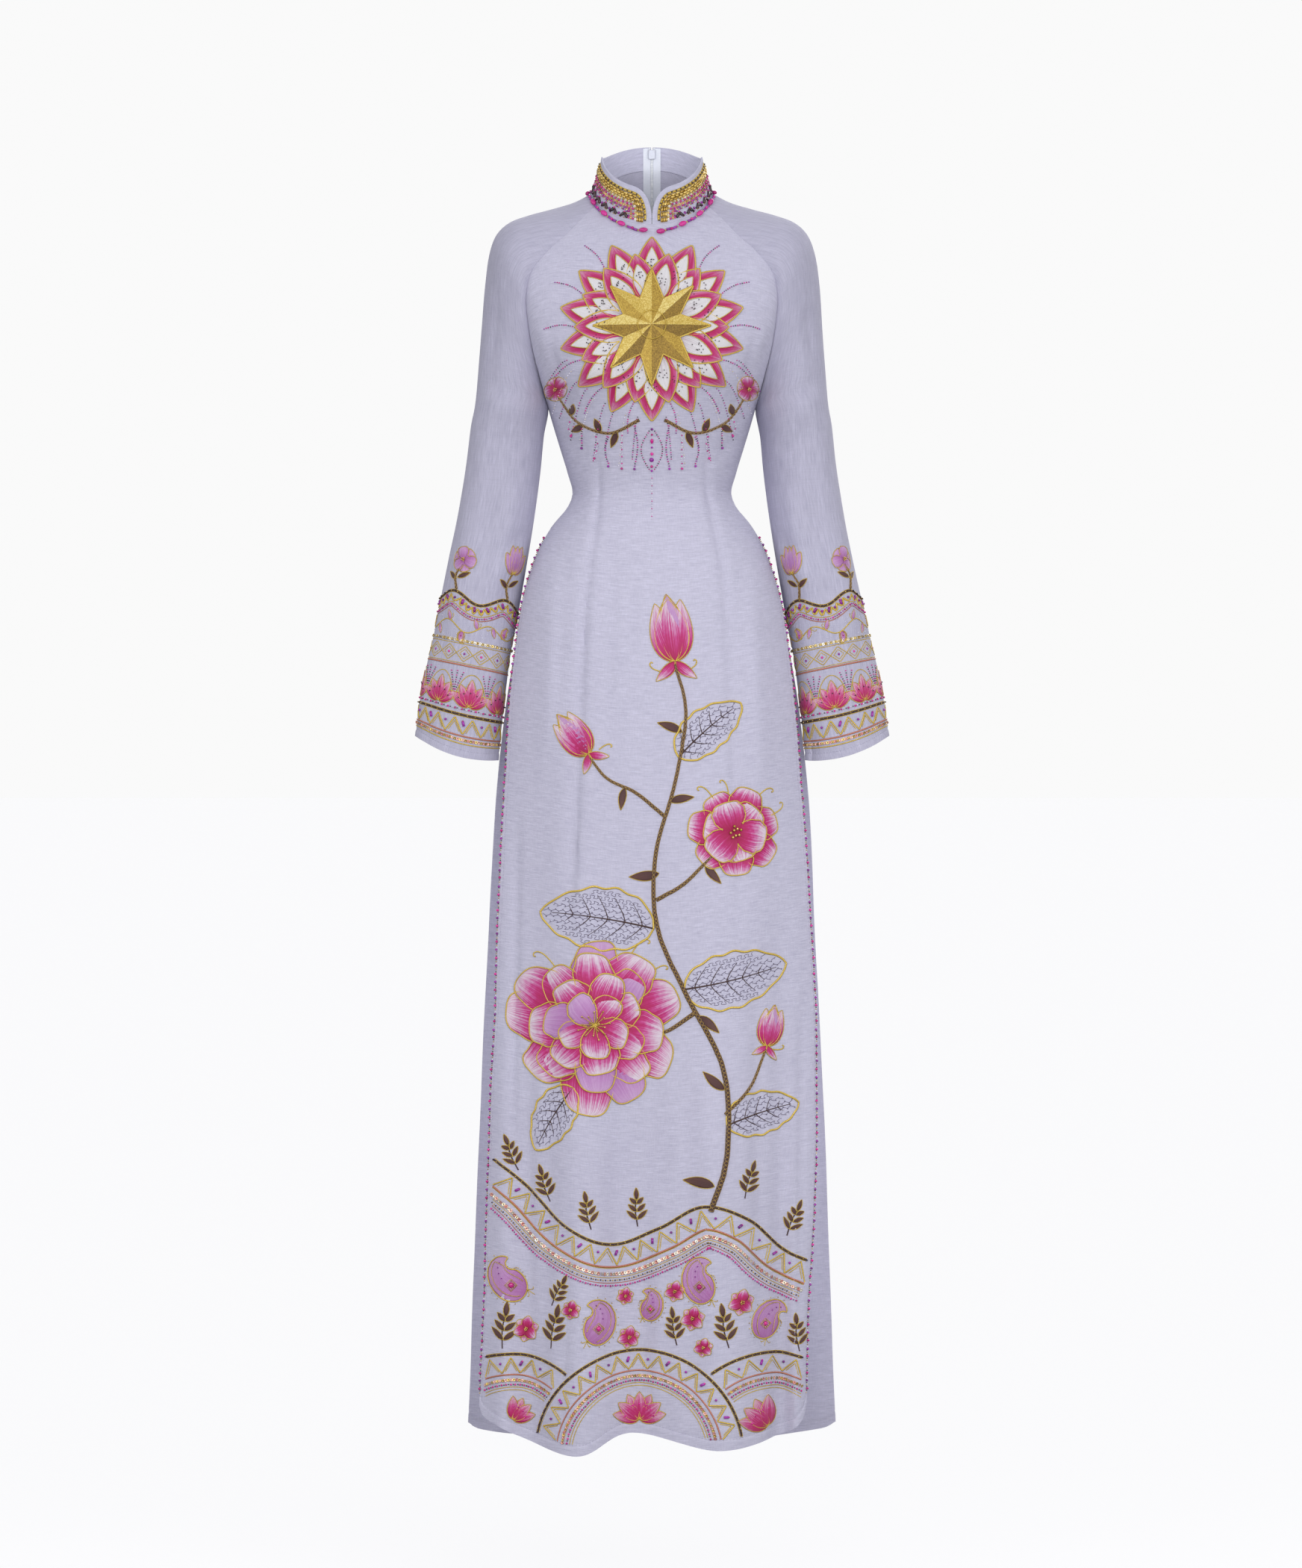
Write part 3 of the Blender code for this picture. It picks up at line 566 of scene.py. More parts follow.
def edgeDistance(grid):
    # how far each place is from the nearer side edge of its piece
    fromFirst = running(gaps(grid, 1), 1)
    return np.minimum(fromFirst, fromFirst[:, -1:] - fromFirst)


def clothUv(grid, startRow):
    # real distances over the cloth, in metres
    u = running(gaps(grid, 1), 1)
    u -= u[:, u.shape[1] // 2][:, None]
    v = running(gaps(grid))
    v -= v[startRow][None, :]
    return np.stack([u, -v], -1) * mm


def gridMesh(name, grid, uv, outward, finish, closedFrom=None):
    # an open surface through a grid of points in millimetres
    rows, columns = grid.shape[:2]
    number = np.arange(rows * columns).reshape(rows, columns)
    places = cells(number)
    if closedFrom is not None:
        number[closedFrom:, -1] = number[closedFrom:, 0]
    corners = cells(number)
    a, b, c = (grid.reshape(-1, 3)[corners[:, i]] for i in range(3))
    facing = np.cross(b - a, c - a)
    # the faces at the top of a piece look outwards
    if np.dot(facing[: columns - 1].sum(0), outward) < 0:
        corners, places = corners[:, ::-1], places[:, ::-1]
    data = bpy.data.meshes.new(name)
    data.from_pydata((grid.reshape(-1, 3) * mm).tolist(), [], corners.tolist())
    layer = data.uv_layers.new(name="UVMap")
    layer.data.foreach_set("uv", uv.reshape(-1, 2)[places.reshape(-1)].astype(np.float32).ravel())
    data.materials.append(finish)
    obj = bpy.data.objects.new(name, data)
    bpy.context.scene.collection.objects.link(obj)
    work = bmesh.new()
    work.from_mesh(data)
    bmesh.ops.delete(work, geom=[v for v in work.verts if not v.link_faces], context="VERTS")
    work.to_mesh(data)
    work.free()
    return obj


def wall(obj, thickness, bevel=0.0):
    # gives the open surface its thickness, inwards, and rounds the cut edges
    bpy.ops.object.select_all(action="DESELECT")
    bpy.context.view_layer.objects.active = obj
    obj.select_set(True)
    shell = obj.modifiers.new("wall", "SOLIDIFY")
    shell.thickness = thickness * mm
    shell.offset = -1
    shell.use_even_offset = False
    bpy.ops.object.modifier_apply(modifier=shell.name)
    if bevel:
        edge = obj.modifiers.new("edge", "BEVEL")
        edge.width = bevel * mm
        edge.segments = 2
        edge.limit_method = "ANGLE"
        edge.angle_limit = radians(60)
        bpy.ops.object.modifier_apply(modifier=edge.name)
    bpy.ops.object.shade_smooth_by_angle(angle=radians(50))
    obj.select_set(False)


hemHalfWidth = 190


def hemHeights(hem, across):
    # a smooth edge through the hem's points
    line = route([(place * hemHalfWidth, height) for place, height in hem], 1.0)
    return np.interp(across * hemHalfWidth, line[:, 0], line[:, 1])


def foldLift(folds, x, z):
    total = np.zeros_like(x)
    for fold in folds:
        down = (fold.topZ - z) / (fold.topZ - panelHem)
        away = (x - mix(fold.topX, fold.hemX, down)) / fold.width
        total += np.where(down > 0, fold.depth * smoothStep(down) * np.exp(-away * away), 0.0)
    return total


def bodyGrid(facing, across, spacing, lastSpacing):
    # the front (facing -1) or back (facing 1) as a fine grid, neck to hem
    rows = []
    for index, row in enumerate(yoke):
        if index == 0:
            if facing < 0:
                rows.append(neckPoint(neck["raglanFront"] * across))
            else:
                rows.append(neckPoint(180 - (180 - neck["raglanBack"]) * across))
            continue
        seam, middle = (row.front, row.chest) if facing < 0 else (row.back, row.spine)
        rows.append(sectionPoints(-seam[0], seam[0], seam[1:], middle, row.turn, 0.0, across))
    steps = seamSteps()
    for row in torso:
        middle = (row.frontY if facing < 0 else row.backY, row.z)
        rows.append(sectionPoints(-row.halfWidth, row.halfWidth, (row.sideY, row.z), middle, 90, 0.0,
                                  across))
    for row in frontPanel if facing < 0 else backPanel:
        rows.append(sectionPoints(row.right, row.left, (row.edgeY, row.z), (row.middleY, row.z), 90,
                                  row.flat, across))
    heights = [yoke[-1].front[2]] + [row.z for row in torso] + [row.z for row in frontPanel]
    steps += [a - b for a, b in zip(heights, heights[1:])]
    grid = smoothRows(rows, steps, spacing, lastSpacing)
    x, z = grid[..., 0].copy(), grid[..., 2].copy()
    folds, hem = (frontFolds, frontHem) if facing < 0 else (backFolds, backHem)
    slit = torso[-1].z
    grid[..., 1] += facing * (foldLift(folds, x, z) + cloth["seamGap"] / 2)
    share = np.clip((slit - z) / (slit - panelHem), 0, None)
    grid[..., 2] = np.where(z < slit, mix(slit, hemHeights(hem, across)[None, :], share), z)
    if facing < 0:
        for side in (-1, 1):
            away = ((x - side * bust["x"]) / bust["width"]) ** 2
            away += ((grid[..., 2] - bust["z"]) / bust["height"]) ** 2
            grid[..., 1] -= bust["depth"] * np.exp(-away)
    return grid


def sleeveGrid(shares, spacing, lastSpacing):
    rows = []
    for index, row in enumerate(yoke):
        if index == 0:
            rows.append(neckPoint(mix(neck["raglanFront"], neck["raglanBack"], shares)))
            continue
        front, back, ridge = (np.array(place, float) for place in (row.front, row.back, row.ridge))
        chord, middle, wrap = (back - front) / 2, (front + back) / 2, radians(row.wrap)
        if row.wrap:
            depth = chord / sin(wrap)
        else:
            depth = np.array([0, underarmHalfDepth, 0])
        out = (ridge - middle) / (1 + cos(wrap))
        angle = mix(wrap, 2 * pi - wrap, shares)[:, None]
        rows.append(middle + out * (cos(wrap) - np.cos(angle)) - depth * np.sin(angle))
    steps = seamSteps()
    angle = 2 * pi * shares[:, None]
    for row in sleeve:
        inner = np.array([row.inner[0], row.centreY, row.inner[1]], float)
        outer = np.array([row.outer[0], row.centreY, row.outer[1]], float)
        lowered = np.concatenate([np.zeros_like(angle), row.halfDepth * np.sin(angle),
                                  row.dip * np.sin(angle) ** 2], axis=1)
        rows.append(inner + (outer - inner) / 2 * (1 - np.cos(angle)) - lowered)
    heights = [yoke[-1].ridge[2]] + [row.outer[1] for row in sleeve]
    steps += [a - b for a, b in zip(heights, heights[1:])]
    grid = smoothRows(rows, steps, spacing, lastSpacing)
    grid[..., 0] += cloth["seamGap"]
    return grid


def distanceUp(grid):
    # how far each place of a grid is from its lower edge, along its column
    return np.flip(running(np.flip(gaps(grid), 0)), 0)


def hemGroove(grid, height, depth, reach):
    # the stitched line above a turned edge
    fromEdge = distanceUp(grid)
    turned = 0.35 * smoothStep((height - fromEdge) / 1.5)
    return turned - depth * np.exp(-((fromEdge - height) / reach) ** 2)


# the side seams are sewn down to slitTop, and the waist is the cloth's own level 0 for its weave
slitTop, waistLine = -380.0, -354


def waistRow(grid):
    return int(np.argmin(np.abs(grid[:, grid.shape[1] // 2, 2] - waistLine)))


frontPiece = {"columns": 88, "spacing": 6.2, "lastSpacing": 2.0, "closeBy": (0.006, 0.013, 0.024),
              "hem": 12.0, "flat": (0.40, 1.43), "area": 0.51}
darts = [
    [(-62, -262), (-60, -330), (-61, -362), (-66, -394), (-71, -435), (-76, -474), (-79, -545),
     (-84, -610)],
    [(62, -262), (61, -330), (66, -362), (72, -390), (79, -418), (83, -462), (88, -520)],
    [(-103, -262), (-82, -224)], [(103, -262), (82, -224)],
]


def dartLift(x, z):
    # a stitched dart is a thin valley with the cloth a little full on both sides
    total = np.zeros_like(x)
    for line in darts:
        near = np.full(x.shape, 1e9)
        share = np.zeros_like(x)
        pieces = list(zip(line, line[1:]))
        for i, ((x1, z1), (x2, z2)) in enumerate(pieces):
            length = hypot(x2 - x1, z2 - z1)
            along = np.clip(((x - x1) * (x2 - x1) + (z - z1) * (z2 - z1)) / length**2, 0, 1)
            away = np.hypot(x - mix(x1, x2, along), z - mix(z1, z2, along))
            share = np.where(away < near, (i + along) / len(pieces), share)
            near = np.minimum(near, away)
        fade = smoothStep((1 - share) * 4) * smoothStep(share * 5 + 0.2)
        total += fade * (1.7 * np.exp(-(near / 13) ** 2) - 2.9 * np.exp(-(near / 5.5) ** 2)
                         - 1.0 * np.exp(-(near / 1.8) ** 2))
    return total


def makeFront(finish):
    across = edgeColumns(-1, 1, frontPiece["columns"], frontPiece["closeBy"])
    inset = cloth["seamGap"] / 2 / yoke[5].front[0]
    # columns stand closer along the two waist darts
    for line in darts[:2]:
        middle = line[3][0] / frontPanel[1].left
        across = np.sort(np.concatenate([across, [middle - 0.012, middle, middle + 0.012]]))
    grid = bodyGrid(-1, across * (1 - inset), frontPiece["spacing"], frontPiece["lastSpacing"])
    normals = gridNormals(grid, (0, -1, 0))
    x, z = grid[..., 0], grid[..., 2]
    panel = 1 + 0.5 * smoothStep((slitTop - z) / 70) + 0.4 * smoothStep((-600 - z) / 300)
    lift = creaseLift(frontCreases, x, z) * panel + dartLift(x, z)
    calm = smoothStep((-60 - z) / 60)
    lift += ripple(x, z, 3) * calm
    sewn = smoothStep((z - slitTop) / 12)
    lift *= smoothStep(edgeDistance(grid) / 14) * sewn + (1 - sewn)
    lift += hemGroove(grid, frontPiece["hem"], 0.5, 1.8)
    grid = grid + normals * lift[..., None] + seamSink(grid, 0.5, 1.8, ("first", "last"), sewn)
    obj = gridMesh("front_cloth", grid, clothUv(grid, waistRow(grid)), (0, -1, 0.3), finish)
    wall(obj, cloth["thick"])
    return obj, grid


backPiece = {"columns": 40, "spacing": 6.8, "lastSpacing": 2.0, "closeBy": (0.006, 0.014, 0.026),
             "hem": 12.0, "flat": (0.22, 1.48), "area": 0.27}


def makeBack(name, side, finish):
    across = edgeColumns(0, 1, backPiece["columns"], backPiece["closeBy"])
    inset = cloth["seamGap"] / 2 / yoke[5].back[0]
    grid = bodyGrid(1, side * across * (1 - inset), backPiece["spacing"], backPiece["lastSpacing"])
    grid[:, 0, 0] = side * cloth["seamGap"] / 2
    normals = gridNormals(grid, (0, 1, 0))
    x, z = grid[..., 0], grid[..., 2]
    panel = 1 + 0.6 * smoothStep((-600 - z) / 300)
    lift = creaseLift(backCreases, x, z) * panel + ripple(x, z, 5) * smoothStep((-10 - z) / 60)
    # both halves meet at the middle seam, so nothing else moves them there
    lift *= smoothStep(np.abs(x) / 12)
    sewn = smoothStep((z - slitTop) / 12)
    lift *= smoothStep(edgeDistance(grid) / 14) * sewn + (1 - sewn)
    lift += hemGroove(grid, backPiece["hem"], 0.5, 1.8)
    sunk = seamSink(grid, 0.5, 1.8, ("first",)) + seamSink(grid, 0.5, 1.8, ("last",), sewn)
    grid = grid + normals * lift[..., None] + sunk
    obj = gridMesh(name, grid, clothUv(grid, waistRow(grid)), (0, 1, 0.3), finish)
    wall(obj, cloth["thick"])
    return obj, grid


sleevePiece = {"columns": 62, "spacing": 6.0, "lastSpacing": 2.0, "closeBy": (0.005, 0.011, 0.02),
               "hem": 8.0, "flat": (0.36, 0.74), "area": 0.163}


def makeSleeve(name, side, finish):
    shares = edgeColumns(0, 1, sleevePiece["columns"], sleevePiece["closeBy"])
    grid = sleeveGrid(shares, sleevePiece["spacing"], sleevePiece["lastSpacing"])
    normals = gridNormals(grid, (1, 0, 0.5))
    degrees = np.broadcast_to(shares * 360, grid.shape[:2])
    z = grid[..., 2]
    # the two sleeves have the same creases, shifted and deepened unlike each other
    shifted = [line._replace(z1=line.z1 - 9 * side, z2=line.z2 + 6 * side,
                             depth=line.depth * (1.5 + 0.2 * side)) for line in sleeveCreases]
    lift = creaseLift(shifted, degrees, z, 0.72) * smoothStep((-70 - z) / 60)
    lift += 1.5 * ripple(degrees * 0.72, z, 11 + side) * smoothStep((-40 - z) / 60)
    # only the underarm seam is left below, where the tube's two edges meet
    below = smoothStep((-262 - z) / 30)
    lift *= smoothStep(edgeDistance(grid) / 14)
    lift -= 0.6 * np.exp(-(edgeDistance(grid) / 2.2) ** 2) * below
    lift += hemGroove(grid, sleevePiece["hem"], 0.5, 1.6)
    sunk = seamSink(grid, 0.5, 1.8, ("first", "last"), 1 - below)
    grid = grid + normals * lift[..., None] + sunk
    grid[..., 0] *= side
    closedFrom = int(np.argmax(np.linalg.norm(grid[:, 0] - grid[:, -1], axis=1) < 0.05))
    obj = gridMesh(name, grid, clothUv(grid, closedFrom), (0, -0.4, 1), finish, closedFrom)
    wall(obj, cloth["thick"])
    return obj, grid


def makeCollar(name, side, finish):
    backEnd = 180 - np.degrees(asin(collar["backEnd"] / neck["halfWidth"]))
    shares = np.linspace(0, 1, collar["columns"]) ** collar["crowding"]
    degrees = mix(collar["frontStart"], backEnd, shares)
    ups = np.linspace(1, 0, collar["rows"])
    grid = np.array([collarPoint(degrees, np.full_like(degrees, up)) for up in ups])
    # the top edge rolls out a little, as a stiffened collar's does
    normals = gridNormals(grid, (0.8, -0.6, 0))
    roll = 0.7 * smoothStep((ups - 0.8) / 0.2)[:, None] + 0.5 * np.sin(degrees / 23)[None, :] * 0.4
    grid = grid + normals * (roll * smoothStep(degrees / 20)[None, :])[..., None]
    grid[..., 0] *= side
    grid[:, -1, 0] = side * collar["backEnd"]
    obj = gridMesh(name, grid, clothUv(grid, collar["rows"] - 1), (0, -1, 0.3), finish)
    wall(obj, cloth["collarThick"], 0.5)
    return obj, grid


# embroidery: the grounds it lies on

class GridGround:
    # a cloth grid with its own measures: u along the columns, v along the rows
    def __init__(self, grid, normals, us, vs):
        self.grid, self.normals = grid, normals
        self.us, self.vs = np.asarray(us, float), np.asarray(vs, float)

    def at(self, places, lift=0.0):
        places = np.atleast_2d(np.asarray(places, float))
        i = np.clip(np.interp(places[:, 1], self.vs, np.arange(len(self.vs))), 0, len(self.vs) - 1.001)
        j = np.clip(np.interp(places[:, 0], self.us, np.arange(len(self.us))), 0, len(self.us) - 1.001)
        row, column = i.astype(int), j.astype(int)
        downShare, acrossShare = (i - row)[:, None], (j - column)[:, None]

        def blend(field):
            upper = mix(field[row, column], field[row, column + 1], acrossShare)
            lower = mix(field[row + 1, column], field[row + 1, column + 1], acrossShare)
            return mix(upper, lower, downShare)

        normals = blend(self.normals)
        normals /= np.linalg.norm(normals, axis=1, keepdims=True)
        return blend(self.grid) + normals * np.broadcast_to(lift, len(places))[:, None], normals


def frontGround(grid):
    # the front as seen by its x and z, on a mesh of rays 2 mm apart
    tree = treeOf([grid])
    xs, zs = np.arange(-204.0, 204.1, 2.0), np.arange(-40.0, -1434.0, -2.0)
    places = np.zeros((len(zs), len(xs), 3))
    for i, z in enumerate(zs):
        for j, x in enumerate(xs):
            hit = tree.ray_cast(Vector((x, -400, z)), Vector((0, 1, 0)))[0]
            places[i, j] = (x, hit.y if hit else np.nan, z)
    # beyond the edges the last height goes on
    for line in places:
        known = np.flatnonzero(~np.isnan(line[:, 1]))
        if len(known):
            line[:, 1] = np.interp(line[:, 0], line[known, 0], line[known, 1])
        else:
            line[:, 1] = -100.0
    normals = gridNormals(places, (0, -1, 0))
    return GridGround(places, normals, xs, -zs)


def treeOf(grids):
    # the surface of several grids, for finding what lies under a place
    points, faces, count = [], [], 0
    for grid in grids:
        rows, columns = grid.shape[:2]
        faces.append(cells(np.arange(rows * columns).reshape(rows, columns) + count))
        points.append(grid.reshape(-1, 3))
        count += rows * columns
    return BVHTree.FromPolygons(np.concatenate(points).tolist(), np.concatenate(faces).tolist())


def onFront(ground):
    # takes x and z instead of x and depth below the shoulders
    class Turned:
        def at(self, places, lift=0.0):
            places = np.atleast_2d(np.asarray(places, float)) * (1, -1)
            return ground.at(places, lift)
    return Turned()


def sleeveGround(grid):
    # around from the middle of the sleeve's front, outwards, and up from the cuff's edge
    normals = gridNormals(grid, (np.sign(grid[:, :, 0].mean()), 0, 0))
    lower = grid[len(grid) // 3:]
    rise = np.flip(running(np.flip(gaps(lower).mean(axis=1))))
    widths = gaps(lower[-40:], 1)
    ring = widths.sum(axis=1).mean()
    around = running(widths.mean(axis=0)) - ring / 4
    ground = GridGround(np.flip(lower, 0), np.flip(normals[len(grid) // 3:], 0), around, np.flip(rise))
    ground.ring = ring
    return ground


# embroidery: gathering stitches, cords and beads into meshes

class Needlework:
    # many small shapes that become one mesh
    def __init__(self, name, slot):
        self.name, self.slot = name, slot
        self.points, self.uvs, self.quads, self.tris = [], [], [], []
        self.quadFinish, self.triFinish, self.finishes, self.count = [], [], [], 0

    def finish(self, material):
        if material not in self.finishes:
            self.finishes.append(material)
        return self.finishes.index(material)

    def add(self, points, uvs, quads, tris, material):
        index = self.finish(material)
        self.points.append(points)
        self.uvs.append(uvs)
        if len(quads):
            self.quads.append(np.asarray(quads) + self.count)
            self.quadFinish.append(np.full(len(quads), index))
        if len(tris):
            self.tris.append(np.asarray(tris) + self.count)
            self.triFinish.append(np.full(len(tris), index))
        self.count += len(points)

    def make(self):
        faces, finishes = [], []
        if self.quads:
            faces += np.concatenate(self.quads).tolist()
            finishes += np.concatenate(self.quadFinish).tolist()
        if self.tris:
            faces += np.concatenate(self.tris).tolist()
            finishes += np.concatenate(self.triFinish).tolist()
        data = bpy.data.meshes.new(self.name)
        data.from_pydata((np.concatenate(self.points) * mm).tolist(), [], faces)
        uvs = np.concatenate(self.uvs)
        layer = data.uv_layers.new(name="UVMap")
        loops = np.zeros(len(data.loops), np.int32)
        data.loops.foreach_get("vertex_index", loops)
        layer.data.foreach_set("uv", uvs[loops].astype(np.float32).ravel())
        for material in self.finishes:
            data.materials.append(material)
        data.polygons.foreach_set("material_index", np.array(finishes, np.int32))
        data.polygons.foreach_set("use_smooth", np.ones(len(data.polygons), bool))
        obj = bpy.data.objects.new(self.name, data)
        bpy.context.scene.collection.objects.link(obj)
        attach(obj, "root")
        print(self.name, sum(len(face) - 2 for face in faces), "triangles")
        return obj


def route(points, spacing=2.0, closed=False):
    # evenly spaced places on a smooth curve through the points
    points = np.asarray(points, float)
    if closed:
        points = np.concatenate([points[-2:], points, points[:3]])
    else:
        points = np.concatenate([[2 * points[0] - points[1]], points, [2 * points[-1] - points[-2]]])
    fine = []
    for before, start, end, after in zip(points, points[1:], points[2:], points[3:]):
        t = np.linspace(0, 1, 12, endpoint=False)[:, None]
        fine.append(0.5 * (2 * start + (end - before) * t + (2 * before - 5 * start + 4 * end - after) * t**2
                           + (3 * start - before - 3 * end + after) * t**3))
    fine = np.concatenate(fine)
    if closed:
        fine = fine[12:12 * (len(points) - 4) + 13]
    else:
        fine = np.concatenate([fine, [points[-2]]])
    return evenly(fine, spacing)


def evenly(line, spacing):
    far = running(gaps(line))
    count = max(2, round(far[-1] / spacing) + 1)
    places = np.linspace(0, far[-1], count)
    return np.stack([np.interp(places, far, line[:, k]) for k in range(line.shape[1])], -1)


def along(points):
    run = np.gradient(points, axis=0)
    return run / np.maximum(np.linalg.norm(run, axis=1, keepdims=True), 1e-9)


def layCord(work, ground, line, width, material, lift=0.0, height=0.6, sides=None, taper=None):
    # a couched thread or cord on the cloth, as a closed tube
    sides = sides or (3 if width < 1.35 else 4 if width < 2.2 else 5)
    points, normals = ground.at(line, lift + width * height * 0.35)
    run = along(points)
    beside = np.cross(run, normals)
    angles = np.arange(sides) * 2 * pi / sides + pi / 2
    share = np.linspace(0, 1, len(points))
    swell = np.ones(len(points)) if taper is None else np.interp(share, *zip(*taper))
    rings = points[:, None] + swell[:, None, None] * width / 2 * (
        beside[:, None] * np.cos(angles)[None, :, None]
        + normals[:, None] * (np.sin(angles) * height)[None, :, None])
    count = len(points)
    number = np.arange(count * sides).reshape(count, sides)
    after = np.roll(number, -1, axis=1)
    quads = np.stack([number[:-1], number[1:], after[1:], after[:-1]], -1).reshape(-1, 4)
    ends = []
    for k in range(1, sides - 1):
        ends += [(number[0, 0], number[0, k + 1], number[0, k]),
                 (number[-1, 0], number[-1, k], number[-1, k + 1])]
    far = running(gaps(points))
    uvs = np.stack([np.repeat(far, sides) * 0.01, np.tile(np.arange(sides) / sides, count)], -1)
    # faces look outwards
    middle = rings[0].mean(0)
    first = rings.reshape(-1, 3)[quads[0]]
    facing = np.cross(first[1] - first[0], first[2] - first[0])
    if np.dot(facing, first.mean(0) - middle) < 0:
        quads, ends = quads[:, ::-1], [end[::-1] for end in ends]
    work.add(rings.reshape(-1, 3), uvs, quads, ends, material)


PetalForm = namedtuple("PetalForm", "rise fall wave curl")
petalForms = {"pointed": PetalForm(0.62, 0.90, 0.0, 0), "round": PetalForm(0.62, 0.36, 0.02, 0),
              "leaf": PetalForm(0.78, 1.05, 0.0, 0), "frilled": PetalForm(0.56, 0.34, 0.045, 0),
              "curl": PetalForm(0.50, 1.0, 0.0, 1), "broad": PetalForm(0.55, 0.70, 0.0, 0)}


def petalEdges(base, turn, length, width, form, bend, t):
    # the middle line of a petal and the way across it, with its half width, at shares t
    shape = petalForms[form]
    peak = shape.rise / (shape.rise + shape.fall)
    top = peak ** shape.rise * (1 - peak) ** shape.fall
    half = width / 2 * np.power(t, shape.rise) * np.power(np.maximum(1 - t, 0), shape.fall) / top
    half = half * (1 + shape.wave * np.sin(t * 21))
    ahead, across = aim(turn), np.array([-sin(turn), cos(turn)])
    base = np.asarray(base, float)
    if not shape.curl:
        middle = base + length * (t[:, None] * ahead + bend * (t**2)[:, None] * across)
        return middle, np.broadcast_to(across, middle.shape), half
    # the middle line bends more and more towards the tip, and the width turns with it
    steps = np.linspace(-0.3, 1.05, 136)
    heading = turn + bend * (2.9 * np.clip(steps, 0, None) ** 2.1 - 0.35)
    path = np.cumsum(np.stack([np.cos(heading), np.sin(heading)], -1), 0) * 0.01 * length
    path = path - path[30] + base
    middle = np.stack([np.interp(t, steps, path[:, k]) for k in (0, 1)], -1)
    now = np.interp(t, steps, heading)
    return middle, np.stack([-np.sin(now), np.cos(now)], -1), half


def layPetal(work, ground, base, turn, length, width, form, material, lift=0.2, bend=0.0, covered=0.0,
             crown=0.8, outline=None, pitch=1.0, seed=0, rim=False):
    # a satin-stitched patch; covered is the share of its length that lies under other petals, and
    # rim makes it pale all along its edge and not only at its tip
    rows, columns = max(6, round(length / 3.2)), max(4, 2 * round(width / 6))
    t = (1 - np.cos(np.linspace(0, pi, rows + 1))) / 2
    u = np.linspace(-1, 1, columns + 1)
    middle, across, half = petalEdges(base, turn, length, width, form, bend, t)
    flat = middle[:, None] + across[:, None] * (half[:, None] * u[None, :])[..., None]
    dome = crown * (1 - np.abs(u)[None, :] ** 2.4) * np.sin(pi * np.clip(t, 0.02, 0.98))[:, None] ** 0.6
    points, _ = ground.at(flat.reshape(-1, 2), (lift + dome).reshape(-1))
    under, _ = ground.at(np.concatenate([flat[:, 0], flat[:, -1]]), -0.15)
    count = (rows + 1) * (columns + 1)
    number = np.arange(count).reshape(rows + 1, columns + 1)
    left, right = count + np.arange(rows + 1), count + rows + 1 + np.arange(rows + 1)
    sides = np.concatenate([np.stack([left[:-1], left[1:], number[1:, 0], number[:-1, 0]], -1),
                            np.stack([number[:-1, -1], number[1:, -1], right[1:], right[:-1]], -1)])
    quads = np.concatenate([cells(number), sides])
    threads = max(6, round(width / pitch))
    shade = np.clip((t - covered) / (1 - covered), -0.2, 1)[:, None] * np.ones(columns + 1)
    if rim:
        shade = np.maximum((shade - 0.55) * 2.0, (np.abs(u)[None, :] - 0.45) * 1.8)
    uvs = np.stack([np.broadcast_to(u * threads / 2 + seed * 37.3, (rows + 1, columns + 1)), shade],
                   -1).reshape(-1, 2)
    edge = np.stack([np.full(rows + 1, -threads / 2 + seed * 37.3), shade[:, 0]], -1)
    far = np.stack([np.full(rows + 1, threads / 2 + seed * 37.3), shade[:, -1]], -1)
    everything = np.concatenate([points, under])
    a, b, c = everything[quads[columns * (rows // 2), :3]]
    _, normal = ground.at(middle[rows // 2])
    if np.dot(np.cross(b - a, c - a), normal[0]) < 0:
        quads = quads[:, ::-1]
    work.add(everything, np.concatenate([uvs, edge, far]), quads, [], material)
    if outline:
        cordWork, cordMaterial, cordWidth = outline
        first, last = middle - across * half[:, None], middle + across * half[:, None]
        open = t >= covered * 0.7
        loop = evenly(np.concatenate([first[open], np.flip(last[open], 0)]), 1.9)
        layCord(cordWork, ground, loop, cordWidth, cordMaterial, lift + 0.1)


# embroidery: beads and sequins, each modelled once

def bevelled(offset):
    bpy.ops.object.mode_set(mode="EDIT")
    bpy.ops.mesh.select_all(action="SELECT")
    bpy.ops.mesh.bevel(offset=offset, segments=1)
    bpy.ops.object.mode_set(mode="OBJECT")


